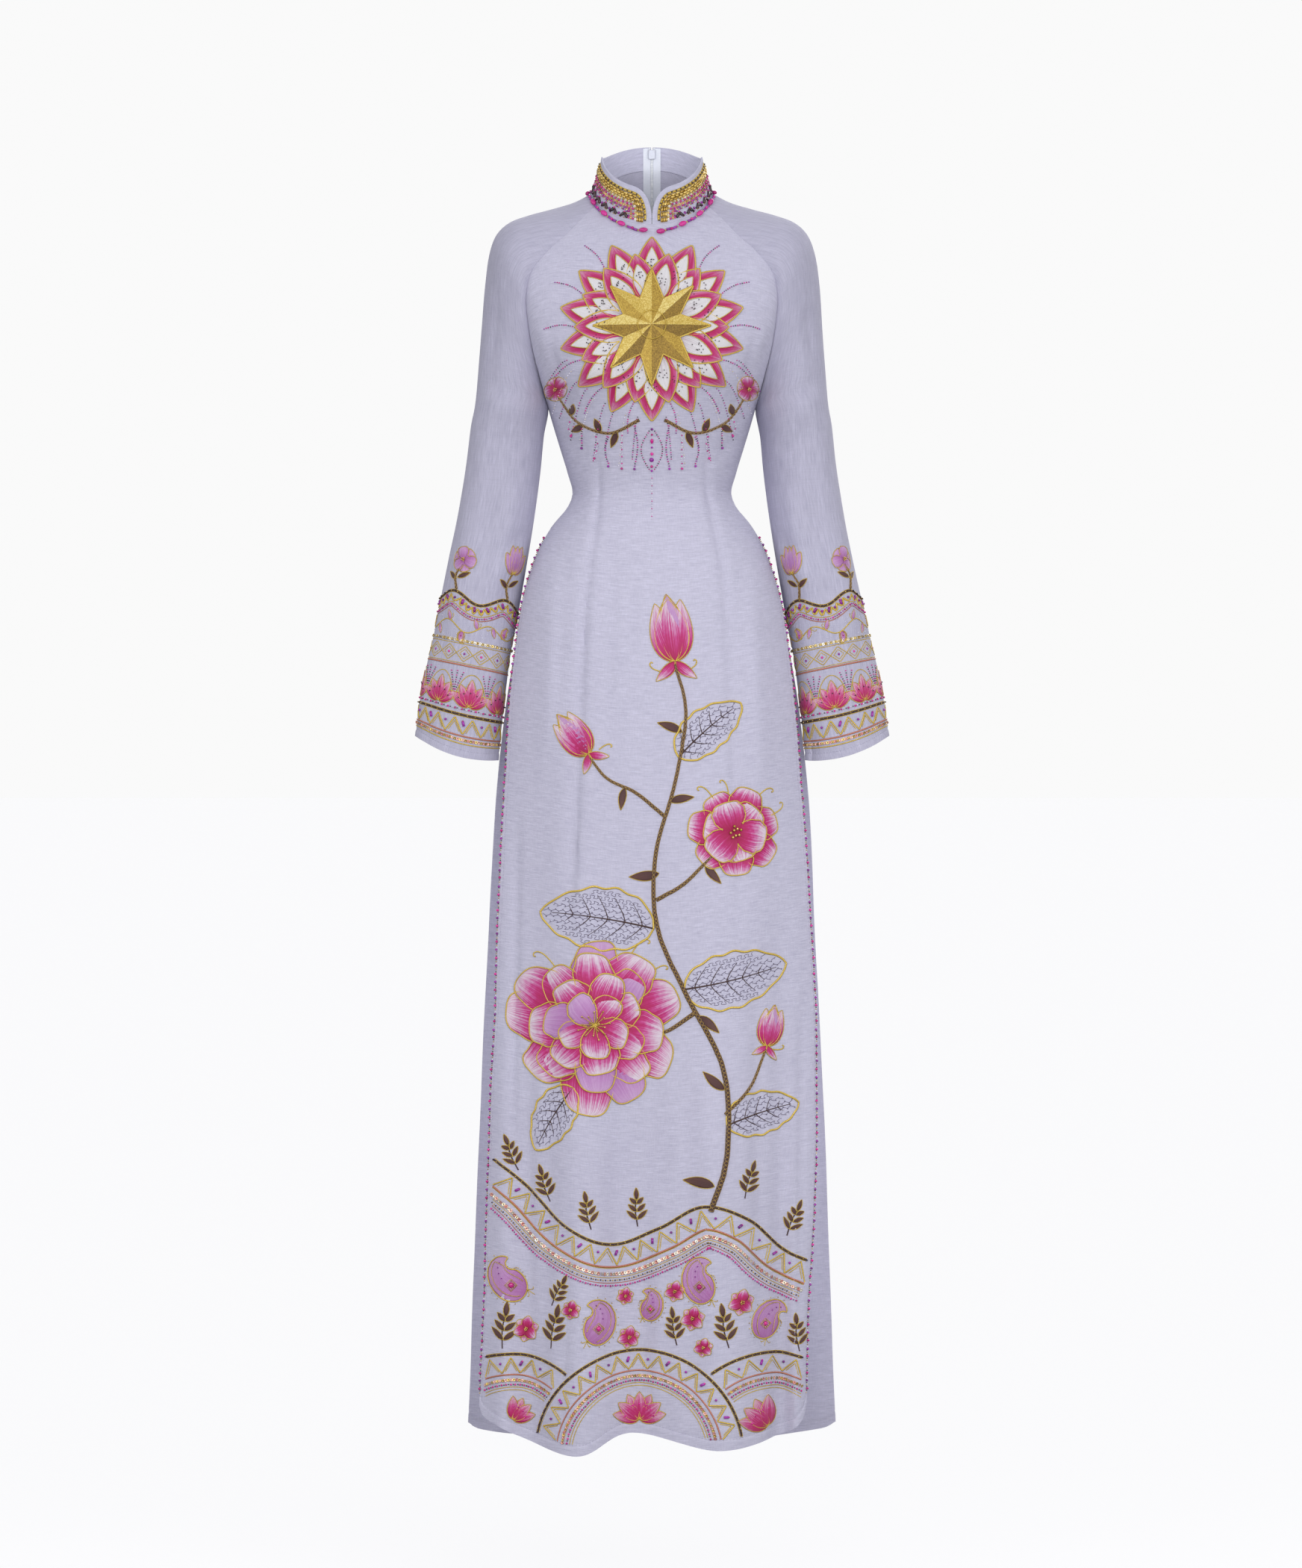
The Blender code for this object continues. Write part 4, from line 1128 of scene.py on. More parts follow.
def beadForm(kind):
    bpy.ops.object.select_all(action="DESELECT")
    if kind == "round":
        bpy.ops.mesh.primitive_uv_sphere_add(segments=8, ring_count=5, radius=0.5)
    elif kind == "oval":
        bpy.ops.mesh.primitive_uv_sphere_add(segments=10, ring_count=7, radius=0.5)
        bpy.ops.transform.resize(value=(1.75, 1.0, 0.8))
    elif kind == "seed":
        bpy.ops.mesh.primitive_uv_sphere_add(segments=5, ring_count=4, radius=0.5)
        bpy.ops.transform.resize(value=(0.85, 1.0, 0.9))
    elif kind == "tube":
        bpy.ops.mesh.primitive_cylinder_add(vertices=6, radius=0.28, depth=1.0)
        bpy.ops.transform.rotate(value=pi / 2, orient_axis="Y", center_override=(0, 0, 0))
    elif kind == "square":
        bpy.ops.mesh.primitive_cube_add(size=0.85)
        bevelled(0.12)
    elif kind == "gem":
        # a faceted stone: a low eight-sided crown with a flat table
        bpy.ops.mesh.primitive_cone_add(vertices=8, radius1=0.5, radius2=0.26, depth=0.34)
        bevelled(0.04)
    else:
        # a cupped sequin with its rim turned up and a hole in the middle
        bpy.ops.mesh.primitive_circle_add(vertices=8, radius=0.5, fill_type="NGON")
        bpy.ops.object.mode_set(mode="EDIT")
        bpy.ops.mesh.select_all(action="SELECT")
        bpy.ops.mesh.inset(thickness=0.16, depth=-0.07)
        bpy.ops.mesh.inset(thickness=0.2, depth=-0.02)
        bpy.ops.mesh.delete(type="FACE")
        bpy.ops.object.mode_set(mode="OBJECT")
    made = bpy.context.object
    bpy.ops.object.transform_apply(location=True, rotation=True, scale=True)
    if kind == "sequin":
        shell = made.modifiers.new("sheet", "SOLIDIFY")
        shell.thickness = 0.05
        bpy.ops.object.modifier_apply(modifier=shell.name)
    low = min(v.co.z for v in made.data.vertices)
    points = np.array([(v.co.x, v.co.y, v.co.z - low) for v in made.data.vertices])
    made.data.calc_loop_triangles()
    tris = np.array([list(face.vertices) for face in made.data.loop_triangles])
    bpy.data.objects.remove(made)
    return points, tris


beadForms = {}


def layBeads(work, points, normals, runs, sizes, kind, material, sink=0.1, tilt=0.0, seed=1):
    # copies of one bead at the places, lying on the cloth with their X along the runs
    if not len(points):
        return
    if kind not in beadForms:
        beadForms[kind] = beadForm(kind)
    shape, tris = beadForms[kind]
    source = np.random.default_rng(seed)
    sizes = np.broadcast_to(sizes, len(points)).astype(float)
    beside = np.cross(normals, runs)
    beside /= np.maximum(np.linalg.norm(beside, axis=1, keepdims=True), 1e-9)
    runs = np.cross(beside, normals)
    if tilt:
        lean = source.normal(0, tilt, (len(points), 2))
        if kind == "sequin":
            # each one leans on the last one's rim, with its own rim on the cloth
            sink = 0.0
            lean = lean * 0.55 + (0.16, 0)
            points = points + normals * (sizes * 0.46 * np.linalg.norm(lean, axis=1))[:, None]
        normals = normals + runs * lean[:, :1] + beside * lean[:, 1:]
        normals /= np.linalg.norm(normals, axis=1, keepdims=True)
        runs = runs - normals * (runs * normals).sum(1, keepdims=True)
        runs /= np.linalg.norm(runs, axis=1, keepdims=True)
        beside = np.cross(normals, runs)
    placed = (points[:, None] + sizes[:, None, None] * (
        runs[:, None] * shape[None, :, :1] + beside[:, None] * shape[None, :, 1:2]
        + normals[:, None] * (shape[None, :, 2:] - sink)))
    offsets = np.arange(len(points))[:, None, None] * len(shape)
    faces = (tris[None] + offsets).reshape(-1, 3)
    tone = np.repeat(source.random(len(points)), len(shape))
    work.add(placed.reshape(-1, 3), np.stack([tone, tone], -1), [], faces, material)


def beadRow(work, ground, line, spacing, pattern, lift=0.0, tilt=0.15, seed=1):
    # beads one after another on a line; pattern is a run of (kind, size, material) that repeats
    places = evenly(np.asarray(line, float), spacing)
    points, normals = ground.at(places, lift)
    runs = along(points)
    for k, (kind, size, material) in enumerate(pattern):
        if kind:
            chosen = slice(k, None, len(pattern))
            layBeads(work, points[chosen], normals[chosen], runs[chosen], size, kind, material,
                     tilt=tilt, seed=seed + k)


# finishes of the threads, beads and sequins

silkStops = {
    "rose": [(0.0, (0.46, 0.002, 0.085)), (0.30, (0.55, 0.008, 0.16)), (0.48, (0.62, 0.06, 0.29)),
             (0.66, (0.68, 0.27, 0.50)), (0.82, (0.76, 0.55, 0.70)), (1.0, (0.84, 0.74, 0.84))],
    "rim": [(0.0, (0.50, 0.004, 0.10)), (0.35, (0.56, 0.010, 0.15)), (0.58, (0.64, 0.08, 0.28)),
            (0.80, (0.72, 0.32, 0.48)), (1.0, (0.80, 0.52, 0.63))],
    "pearl": [(0.0, (0.52, 0.42, 0.46)), (0.25, (0.66, 0.62, 0.66)), (0.6, (0.80, 0.79, 0.82)),
              (1.0, (0.88, 0.87, 0.90))],
    "lilac": [(0.0, (0.46, 0.16, 0.44)), (0.5, (0.55, 0.27, 0.58)), (1.0, (0.66, 0.42, 0.70))],
    "bark": [(0.0, (0.055, 0.022, 0.016)), (0.6, (0.085, 0.036, 0.024)), (1.0, (0.14, 0.065, 0.035))],
}


def silkFinish(name, stops):
    # satin stitch: u counts the threads across a patch, v is its shade, 0 deep to 1 pale
    finish = Finish(name, Roughness=0.46, Specular_IOR_Level=0.4, Sheen_Weight=0.1)
    place = finish.coordinates("UV")
    across, shade = finish.channel(place, 0), finish.channel(place, 1)
    thread = across.whole()
    within = across - thread
    jag = finish.node("TexWhiteNoise", {"noise_dimensions": "1D"}, {"W": thread}, "Value")
    cloud = finish.noise(finish.coordinates("UV", (0.22, 9, 1)), 1.0, 2.0)
    tone = (shade + (jag - 0.5) * 0.34 + (cloud - 0.5) * 0.34).clamped()
    colour = finish.shades(stops, tone)
    # painted shade: each thread is painted darker at its edges, in the grooves between threads, and lighter
    # along its middle; the same profile is also the bump's relief
    grooveReliefAndShade = within * (1 - within) * 4
    finish.feed("Base Color", finish.blended(0.55 + grooveReliefAndShade * 0.45, (0.16, 0.05, 0.10, 1), colour))
    finish.bump(grooveReliefAndShade + jag * 0.4, 0.5, 0.0004)
    return finish.material


def cordFinish(name, stops, metallic, rough, turns=85.0):
    # a twisted thread: u runs along it in tenths of a metre, v round it
    finish = Finish(name, Metallic=metallic, Roughness=rough)
    place = finish.coordinates("UV")
    far, around = finish.channel(place, 0), finish.channel(place, 1)
    # painted shade: the plies of the twist are painted as light and dark stripes in the colour, and are also
    # raised in the bump
    twistReliefAndShade = ((far * turns + around) * (2 * pi)).wave() * 0.5 + 0.5
    grain = finish.noise(finish.coordinates("Object", (1300, 1300, 1300)), 1.0, 2.0)
    tone = (twistReliefAndShade * 0.55 + grain * 0.9 - 0.22).clamped()
    finish.feed("Base Color", finish.shades(stops, tone))
    finish.bump(twistReliefAndShade, 0.5, 0.0003)
    return finish.material


def paintedShadeGlitterFinish(name):
    # gold thread laid close, with painted light and shade: u below 0.5 paints the lit side of a ridge
    # lighter and u above 0.5 paints its shaded side darker
    finish = Finish(name, Metallic=0.30, Roughness=0.42)
    side = finish.channel(finish.coordinates("UV"), 0)
    grain = finish.noise(finish.coordinates("Object", (620, 620, 620)), 1.0, 3.0, 0.7)
    spark = finish.noise(finish.coordinates("Object", (1500, 1500, 1500)), 1.0, 1.0)
    # painted light and shade from u, with random grain and fine specks on top
    tone = (side * -0.62 + 0.80 + (grain - 0.5) * 1.1 + (spark - 0.5) * 0.7).clamped()
    stops = [(0.0, (0.15, 0.085, 0.010)), (0.4, (0.40, 0.245, 0.035)), (0.75, (0.66, 0.46, 0.085)),
             (1.0, (0.95, 0.80, 0.33))]
    finish.feed("Base Color", finish.shades(stops, tone))
    finish.bump(grain + spark * 0.5, 0.7, 0.0005)
    return finish.material


def beadFinish(name, dark, light, metallic=0.0, rough=0.16):
    # each bead has its own tone, kept in u
    finish = Finish(name, Metallic=metallic, Coat_Weight=0.5, Coat_Roughness=0.08)
    tone = finish.channel(finish.coordinates("UV"), 0)
    speck = finish.noise(finish.coordinates("Object", (500, 500, 500)), 1.0, 1.0)
    finish.feed("Base Color", finish.blended(tone, (*dark, 1), (*light, 1)))
    finish.feed("Roughness", speck * 0.12 + rough)
    return finish.material


goldStops = [(0.0, (0.34, 0.19, 0.012)), (0.45, (0.70, 0.46, 0.045)), (1.0, (1.0, 0.85, 0.28))]
coralStops = [(0.0, (0.34, 0.07, 0.06)), (0.5, (0.58, 0.20, 0.13)), (1.0, (0.82, 0.45, 0.28))]
brownStops = [(0.0, (0.24, 0.13, 0.04)), (0.6, (0.44, 0.27, 0.08)), (1.0, (0.66, 0.48, 0.16))]
inkStops = [(0.0, (0.035, 0.016, 0.016)), (0.6, (0.07, 0.032, 0.028)), (1.0, (0.13, 0.07, 0.05))]
greyStops = [(0.0, (0.10, 0.08, 0.14)), (0.6, (0.16, 0.13, 0.21)), (1.0, (0.25, 0.21, 0.31))]


def makeFinishes():
    made = {word: silkFinish(word + "_silk", stops) for word, stops in silkStops.items()}
    made["gold"] = cordFinish("gold_cord", goldStops, 0.30, 0.36)
    made["coral"] = cordFinish("coral_cord", coralStops, 0.25, 0.42)
    made["brown"] = cordFinish("brown_thread", brownStops, 0.1, 0.5)
    made["ink"] = cordFinish("brown_cord", inkStops, 0.0, 0.55)
    made["grey"] = cordFinish("grey_thread", greyStops, 0.0, 0.6)
    # the sun's gold facets, whose colour carries painted light and shade
    made["glitter"] = paintedShadeGlitterFinish("gold_glitter_painted_shade")
    made["magenta"] = beadFinish("magenta_bead", (0.42, 0.0, 0.17), (0.75, 0.02, 0.34))
    made["purple"] = beadFinish("purple_bead", (0.17, 0.005, 0.20), (0.38, 0.02, 0.40))
    made["dark"] = beadFinish("dark_bead", (0.012, 0.006, 0.010), (0.06, 0.025, 0.03))
    made["clear"] = beadFinish("clear_bead", (0.62, 0.56, 0.70), (0.90, 0.88, 0.94), 0.15, 0.08)
    made["golden"] = beadFinish("gold_bead", (0.46, 0.27, 0.035), (0.86, 0.64, 0.20), 0.7, 0.2)
    made["blush"] = beadFinish("blush_sequin", (0.62, 0.22, 0.17), (0.90, 0.55, 0.42), 0.5, 0.14)
    made["pale"] = beadFinish("pale_sequin", (0.74, 0.62, 0.40), (0.96, 0.92, 0.80), 0.6, 0.12)
    return made


# motifs that return in several places

def circle(centre, radius, start=0.0, end=360.0, step=3.0):
    angles = np.radians(np.linspace(start, end, max(5, ceil(abs(end - start) * radius / 57.3 / step))))
    return np.asarray(centre, float) + radius * np.stack([np.cos(angles), np.sin(angles)], -1)


def shifted(line, distance):
    # the line moved sideways, to its left
    run = along(np.asarray(line, float))
    return line + distance * np.stack([-run[:, 1], run[:, 0]], -1)


def keptRuns(line, allowed):
    # the stretches of a line where allowed is true
    kept = allowed(line)
    edges = np.flatnonzero(np.diff(np.concatenate([[False], kept, [False]]).astype(int)))
    return [line[start:end] for start, end in zip(edges[::2], edges[1::2]) if end - start > 3]


class Stitcher:
    # lays motifs on one ground, gathering silk, cords and beads apart
    def __init__(self, name, ground, finishes):
        self.name, self.ground, self.finishes = name, ground, finishes
        self.silk = Needlework(name + "_silk", "thread")
        self.cords = Needlework(name + "_cords", "gold_thread")
        self.beads = Needlework(name + "_beads", "beads")
        self.seed = 1

    def cord(self, line, width=1.5, finish="gold", lift=0.0, **more):
        layCord(self.cords, self.ground, np.asarray(line, float), width, self.finishes[finish], lift, **more)

    def band(self, line, width=1.5, finish="gold", lift=0.0, **more):
        # a cord along a long smooth line
        self.cord(evenly(np.asarray(line, float), 2.6), width, finish, lift, **more)

    def curve(self, points, width=1.5, finish="gold", lift=0.0, closed=False, spacing=2.0, **more):
        self.cord(route(points, spacing, closed), width, finish, lift, **more)

    def petal(self, base, turn, length, width, form="pointed", silk="rose", outline=1.2, edge="gold",
              **more):
        self.seed += 1
        drawn = (self.cords, self.finishes[edge], outline) if outline else None
        layPetal(self.silk, self.ground, base, turn, length, width, form, self.finishes[silk],
                 outline=drawn, seed=self.seed, **more)

    def row(self, line, spacing, pattern, **more):
        self.seed += 7
        pattern = [(kind, size, self.finishes[finish]) for kind, size, finish in pattern]
        beadRow(self.beads, self.ground, line, spacing, pattern, seed=self.seed, **more)

    def bead(self, places, kind, size, finish, turn=0.0, lift=0.0, tilt=0.1):
        places = np.atleast_2d(np.asarray(places, float))
        points, normals = self.ground.at(places, lift)
        ahead, _ = self.ground.at(places + np.stack([np.cos(turn), np.sin(turn)], -1))
        runs = ahead - points
        self.seed += 7
        layBeads(self.beads, points, normals, runs, size, kind, self.finishes[finish], tilt=tilt,
                 seed=self.seed)

    def branch(self, points, width, taper=None):
        # a stem of brown stitches between two gold threads
        line = route(points, 1.8)
        source = np.random.default_rng(self.seed)
        self.seed += 1
        waver = np.convolve(source.normal(0, 0.5, len(line) + 8), np.ones(5) / 5, "valid")[:len(line)]
        line = shifted(line, (waver * width * 0.12)[:, None])
        self.cord(line, width, "ink", 0.1, height=0.45, sides=6, taper=taper)
        swell = np.interp(np.linspace(0, 1, len(line)), *zip(*(taper or [(0, 1), (1, 1)])))
        far = np.arange(len(line)) * 1.8
        for phase in (0.0, pi):
            # two thin threads wind round it
            swing = np.sin(far * 2 * pi / 9 + phase)
            wound = shifted(line, (width * 0.42 * swell * swing)[:, None])
            self.cord(wound, 1.0, "brown", 0.1 + width * swell * (0.20 + 0.20 * np.sqrt(1 - 0.7 * swing**2)),
                      sides=3)
        for side in (-1, 1):
            self.cord(shifted(line, (side * width * 0.5 * swell)[:, None]), 0.7, "brown", 0.05)

    def blossom(self, centre, radius, petals, turn=0.0, silk="rose", form="round", width=None, rings=1,
                lift=0.3):
        # an open flower seen from the front, with rings of petals and a knotted heart
        for ring in range(rings):
            reach = radius * (1 - 0.30 * ring)
            count = petals - (ring % 2)
            across = width or 2.5 * reach / count
            for k in alternately(count):
                angle = turn + 2 * pi * (k + 0.5 * ring) / count
                self.petal(centre, angle, reach * (1 + 0.05 * sin(k * 2.4 + ring)), across, form, silk,
                           lift=lift + 0.9 * ring + 0.5 * (k % 2), covered=0.62 if ring < rings - 1 else 0.2,
                           crown=0.6, outline=1.4 if radius > 20 else 1.1)
        knots = np.array([np.asarray(centre, float) + radius * 0.14 * sqrt(i / 7) * np.array(
            [cos(i * 2.4), sin(i * 2.4)]) for i in range(1, 9)])
        self.bead(knots, "seed", radius * 0.06 + 1.0, "golden", lift=lift + 0.9 * rings + 0.4)

    def leaf(self, base, turn, length, width, silk="bark", **more):
        self.petal(base, turn, length, width, "leaf", silk, outline=1.0, crown=0.4, **more)

    def openLeaf(self, base, turn, length, width, bend=0.0):
        # a leaf in outline, its veins stitched dark and its ground filled with wandering thin lines
        t = np.linspace(0, 1, 40)
        middle, across, half = petalEdges(base, turn, length, width, "broad", bend, t)
        wave = 1 + 0.045 * np.sin(t * 30 + length)
        first, last = middle - across * (half * wave)[:, None], middle + across * (half * wave)[:, None]
        self.cord(evenly(np.concatenate([first, np.flip(last, 0)]), 1.8), 2.3, "gold", 0.1)
        self.cord(evenly(middle[:36], 1.8), 1.6, "ink", 0.1, taper=[(0, 1.2), (1, 0.4)])
        ahead = aim(turn)
        for side in (-1, 1):
            edge = half * wave * 0.90
            for k in range(5):
                start = 4 + 6 * k
                reach = 0.78 * edge[min(start + 8, 39)]
                if reach < 5:
                    continue
                steps = np.linspace(0, 1, 12)[:, None]
                vein = middle[start] + steps * reach * side * across[0] + ahead * reach * (
                    0.75 * steps ** 1.3)
                self.cord(evenly(vein, 1.8), 1.1, "ink", 0.1, sides=4, taper=[(0, 1), (1, 0.35)])
            self.wander(base, ahead, across[0] * side, length, bend, t, edge)

    def wander(self, base, ahead, beside, length, bend, t, edge):
        # rows of rounded loops that fill one half of an open leaf
        pitch, reach = 6.4, 8.2
        for row in range(int(edge.max() / pitch) + 1):
            out = 3.0 + row * pitch
            inside = np.flatnonzero(edge > out + 0.8)
            if len(inside) < 5:
                continue
            start, end = t[inside[0]] * length + 1.5, t[inside[-1]] * length - 1.5
            if end - start < 10:
                continue
            phase = np.arange(0, (end - start) / reach * 2 * pi, 0.55) + self.seed
            far = start + (phase - self.seed) / (2 * pi) * reach
            slide = far + 1.9 * np.sin(2 * phase + row)
            off = out + (2.1 + 0.5 * np.sin(phase * 0.37 + row)) * np.sin(phase + row)
            share = np.clip(slide / length, 0, 1)
            bow = (bend * length * share ** 2)[:, None] * np.array([-ahead[1], ahead[0]])
            line = np.asarray(base, float) + slide[:, None] * ahead + off[:, None] * beside + bow
            self.cord(evenly(line, 1.3), 0.65, "grey", 0.05, sides=3)

    def tendril(self, base, turn, length, curl=1.0, width=1.1):
        # a thread that runs out and rolls up at its end
        t = np.linspace(0, 1, 26)
        angle = turn + curl * (0.5 * t + 4.2 * t ** 4)
        steps = np.stack([np.cos(angle), np.sin(angle)], -1) * (length / 26) * (1.15 - 0.7 * t)[:, None]
        self.cord(evenly(np.asarray(base, float) + np.cumsum(steps, 0), 1.2), width, "gold", 0.05)

    def paisley(self, base, turn, length, side=1):
        # a curled drop, its round end at the base, in lilac with gold rims and dots
        base = np.asarray(base, float)
        large = length > 30
        self.petal(base, turn, length, length * 0.58, "curl", "lilac", bend=side, crown=0.5,
                   outline=1.6 if large else 1.1)
        t = np.linspace(0, 1, 40)
        inner, across, half = petalEdges(base, turn, length, length * 0.58, "curl", side, t)
        first, last = inner - across * half[:, None] * 0.62, inner + across * half[:, None] * 0.62
        self.cord(evenly(np.concatenate([first[4:32], np.flip(last[4:32], 0)]), 1.6), 1.0, "gold", 0.8)
        heart = inner[12]
        self.bead([heart], "gem", length * 0.12, "magenta", lift=0.9)
        if not large:
            return
        self.cord(circle(heart, length * 0.11, step=12), 1.1, "gold", 0.9)
        self.row(circle(heart, length * 0.075, step=20), 2.2, [("seed", 1.6, "golden")], lift=0.8)
        for k in range(20, 34, 4):
            self.bead([inner[k]], "seed", 1.7, "purple", lift=0.9)
        for k in range(3, 36, 3):
            for way in (-1, 1):
                self.bead([inner[k] + across[k] * way * (half[k] + 2.8)], "seed", 1.5, "golden", lift=0.1)
        for k in range(3):
            # a tuft of three threads at the round end
            spread = turn + pi + (k - 1) * 0.55
            self.tendril(base, spread, length * 0.20, (k - 1) * 0.8, width=1.1)

    def teeth(self, line, height, pitch, accents=("tube", "round")):
        # doubled gold triangles that stand between a line and the one beside it
        line = evenly(np.asarray(line, float), 1.0)
        run = along(line)
        beside = np.stack([-run[:, 1], run[:, 0]], -1)
        steps = int(len(line) / pitch)
        if steps < 1:
            return
        places = np.linspace(0, len(line) - 1, 2 * steps + 1).astype(int)
        points = np.array([line[i] + beside[i] * (height if k % 2 else 0.0) for k, i in enumerate(places)])
        self.cord(evenly(points, 2.0), 1.8, "gold")
        for k in range(0, 2 * steps, 2):
            first, tip, last = points[k], points[k + 1], points[k + 2]
            middle = (first + tip + last) / 3
            inner = [mix(spot, middle, 0.36) for spot in (first, tip, last)]
            self.cord(evenly(np.array([inner[0], inner[1], inner[2]]), 1.8), 1.3, "gold")
            kind = accents[(k // 2) % len(accents)]
            if k + 3 < len(points):
                between = (points[k + 1] + points[k + 2] + points[k + 3]) / 3
                ahead = points[k + 3] - points[k + 1]
                turn = atan2(ahead[1], ahead[0]) + pi / 2 - 0.4
                if kind == "tube":
                    self.bead([between], "tube", 5.5, "purple", turn=turn)
                    self.bead([between + 2.6 * aim(turn)], "round", 2.4, "magenta")
                else:
                    self.bead([between], "round", 3.0, "purple")

    def ropeLine(self, line):
        # the heavy edging of a band: a brown cord between gold ones, with square beads on it
        self.band(line, 2.4, "ink", 0.0, height=0.6)
        self.band(shifted(line, 1.5), 1.1, "gold")
        self.band(shifted(line, -1.5), 1.1, "gold")
        self.row(line, 4.4, [("square", 1.9, "dark"), ("seed", 1.7, "golden")], lift=0.9)

    def make(self):
        return [work.make() for work in (self.silk, self.cords, self.beads) if work.count]


# collar: rows of beads that follow its curved front edge, and the rope at the neck seam

beadedCollar = {"edgeMargin": 7.5, "foot": 3.2, "backEnd": 7.0, "chevronPitch": 15.0,
                "ropePitch": 27.6, "ropeOut": 4.0, "ropeStart": 4.6, "ropeEnd": 176.0}


class CollarGround:
    # along the neck seam from the centre front, and up from it, both in millimetres
    def __init__(self, grid, side):
        normals = gridNormals(grid, (0.8 * side, -0.6, 0))
        self.seam = running(gaps(grid[-1]))
        self.heights = gaps(grid).sum(axis=0)
        self.sheet = GridGround(np.flip(grid, 0), np.flip(normals, 0), self.seam,
                                np.linspace(0, 1, len(grid)))

    def at(self, places, lift=0.0):
        places = np.array(np.atleast_2d(places), float)
        places[:, 1] /= np.interp(places[:, 0], self.seam, self.heights)
        return self.sheet.at(places, lift)

    def inside(self, distance):
        # a line at so much from the front edge and the top
        rise = np.stack([np.full(12, self.seam[0]), np.linspace(0, self.heights[0], 12)], -1)
        edge = evenly(np.concatenate([rise, np.stack([self.seam, self.heights], -1)[1:]]), 1.0)
        smoother = np.ones(7) / 7
        for k in range(2):
            padded = np.pad(edge[:, k], 3, mode="edge")
            edge[:, k] = np.convolve(padded, smoother, "valid")
        return shifted(edge, -distance)


def decorateCollar(name, grid, side, finishes):
    ground = CollarGround(grid, side)
    work = Stitcher(name, ground, finishes)
    end = ground.seam[-1] - beadedCollar["backEnd"]

    def allowed(line):
        return (line[:, 1] > beadedCollar["foot"]) & (line[:, 0] < end) & (line[:, 0] > 0.5)

    def rows(distance):
        return [run for run in keptRuns(ground.inside(distance), allowed) if len(run) > 4]

    margin = beadedCollar["edgeMargin"]
    for run in rows(margin):
        work.cord(run, 3.0, "gold", height=0.3)
        work.row(run, 3.3, [("square", 2.0, "dark"), ("seed", 1.5, "golden")], lift=0.5)
    for offset in (3.4, 6.0, 8.6):
        for run in rows(margin + offset):
            work.row(run, 3.1, [("tube", 5.0, "golden"), ("seed", 1.4, "golden")], lift=0.1)
    for run in rows(margin + 11.2):
        work.row(run, 2.5, [("sequin", 3.2, "pale"), ("sequin", 3.0, "golden")], tilt=0.35, lift=0.2)
    for run in rows(margin + 14.0):
        work.row(run, 2.9, [("round", 2.8, "magenta"), ("seed", 1.6, "golden"),
                            ("round", 2.6, "magenta"), ("seed", 1.7, "clear")], lift=0.1)
    for run in rows(margin + 16.8):
        work.row(run, 2.5, [("sequin", 3.0, "golden"), ("sequin", 3.0, "blush")], tilt=0.4, lift=0.2)
    for run in rows(margin + 19.6):
        work.row(run, 2.4, [("round", 2.3, "magenta"), ("round", 2.3, "purple"),
                            ("seed", 1.8, "golden")], lift=0.1)
    for run in rows(margin + 22.2):
        work.row(run, 2.3, [("seed", 2.0, "golden"), ("seed", 1.9, "clear"), ("seed", 2.0, "golden"),
                            ("round", 2.2, "purple")], lift=0.1)
    # dark chevrons above the seam, each with a stone in its opening
    pitch = beadedCollar["chevronPitch"]
    for k in range(int((end - 30) / pitch)):
        foot = 33 + pitch * k
        room = np.interp(foot, ground.seam, ground.heights) - margin - 24
        if room > 2:
            for lean in (-1, 1):
                spot = [foot + lean * 2.4, 5.8]
                work.bead([spot], "tube", 6.4, "dark", turn=pi / 2 + lean * 0.75, lift=0.2)
            work.bead([[foot, 9.2]], "round", 2.6, "magenta")
            work.bead([[foot + pitch / 2, 6.0]], "gem", 4.2, "purple")
        for step in range(5):
            work.bead([[foot + step * 3.0, 2.9]], "seed", 1.8, ("golden", "clear")[step % 2])
    return work.make()


def makeRope(name, side, tree, finishes):
    # big faceted ovals with purple tubes between, strung along the neck seam
    work = Needlework(name, "beads")
    degrees = np.linspace(beadedCollar["ropeStart"], beadedCollar["ropeEnd"], 400)
    base = neckPoint(degrees) * (side, 1, 1)
    out = np.stack([side * np.sin(np.radians(degrees)), -np.cos(np.radians(degrees)),
                    np.zeros(len(degrees))], -1)
    spots, normals = [], []
    for place in base + out * beadedCollar["ropeOut"]:
        hit, normal = tree.ray_cast(Vector((*place[:2], place[2] + 6)), Vector((0, 0, -1)))[:2]
        spots.append(hit if hit else Vector(place))
        normals.append((normal if normal.z > 0 else -normal) if hit else Vector((0, 0, 1)))
    spots, normals = np.array(spots), np.array(normals)
    line = evenly(np.concatenate([spots, normals], axis=1), 0.5)
    places, normals = line[:, :3], line[:, 3:] / np.linalg.norm(line[:, 3:], axis=1, keepdims=True)
    runs = along(places)
    far = np.arange(len(places)) * 0.5
    strung = [("oval", 6.2, "magenta", 0.0), ("seed", 2.6, "golden", 6.8), ("tube", 5.2, "purple", 10.2),
              ("round", 3.6, "magenta", 13.9), ("tube", 5.2, "purple", 17.8), ("seed", 2.6, "golden", 20.9)]
    for kind, size, finish, start in strung:
        chosen = [int(2 * at) for at in np.arange(start + 3.5, far[-1] - 4, beadedCollar["ropePitch"])]
        layBeads(work, places[chosen], normals[chosen], runs[chosen], size, kind, finishes[finish],
                 sink=-0.06, tilt=0.12, seed=int(start * 10) + 3)
    return work.make()


# strings of beads down the front panel's side edges

edgeString = {"top": -388.0, "end": -1356.0, "spacing": 2.25, "in": 0.6}


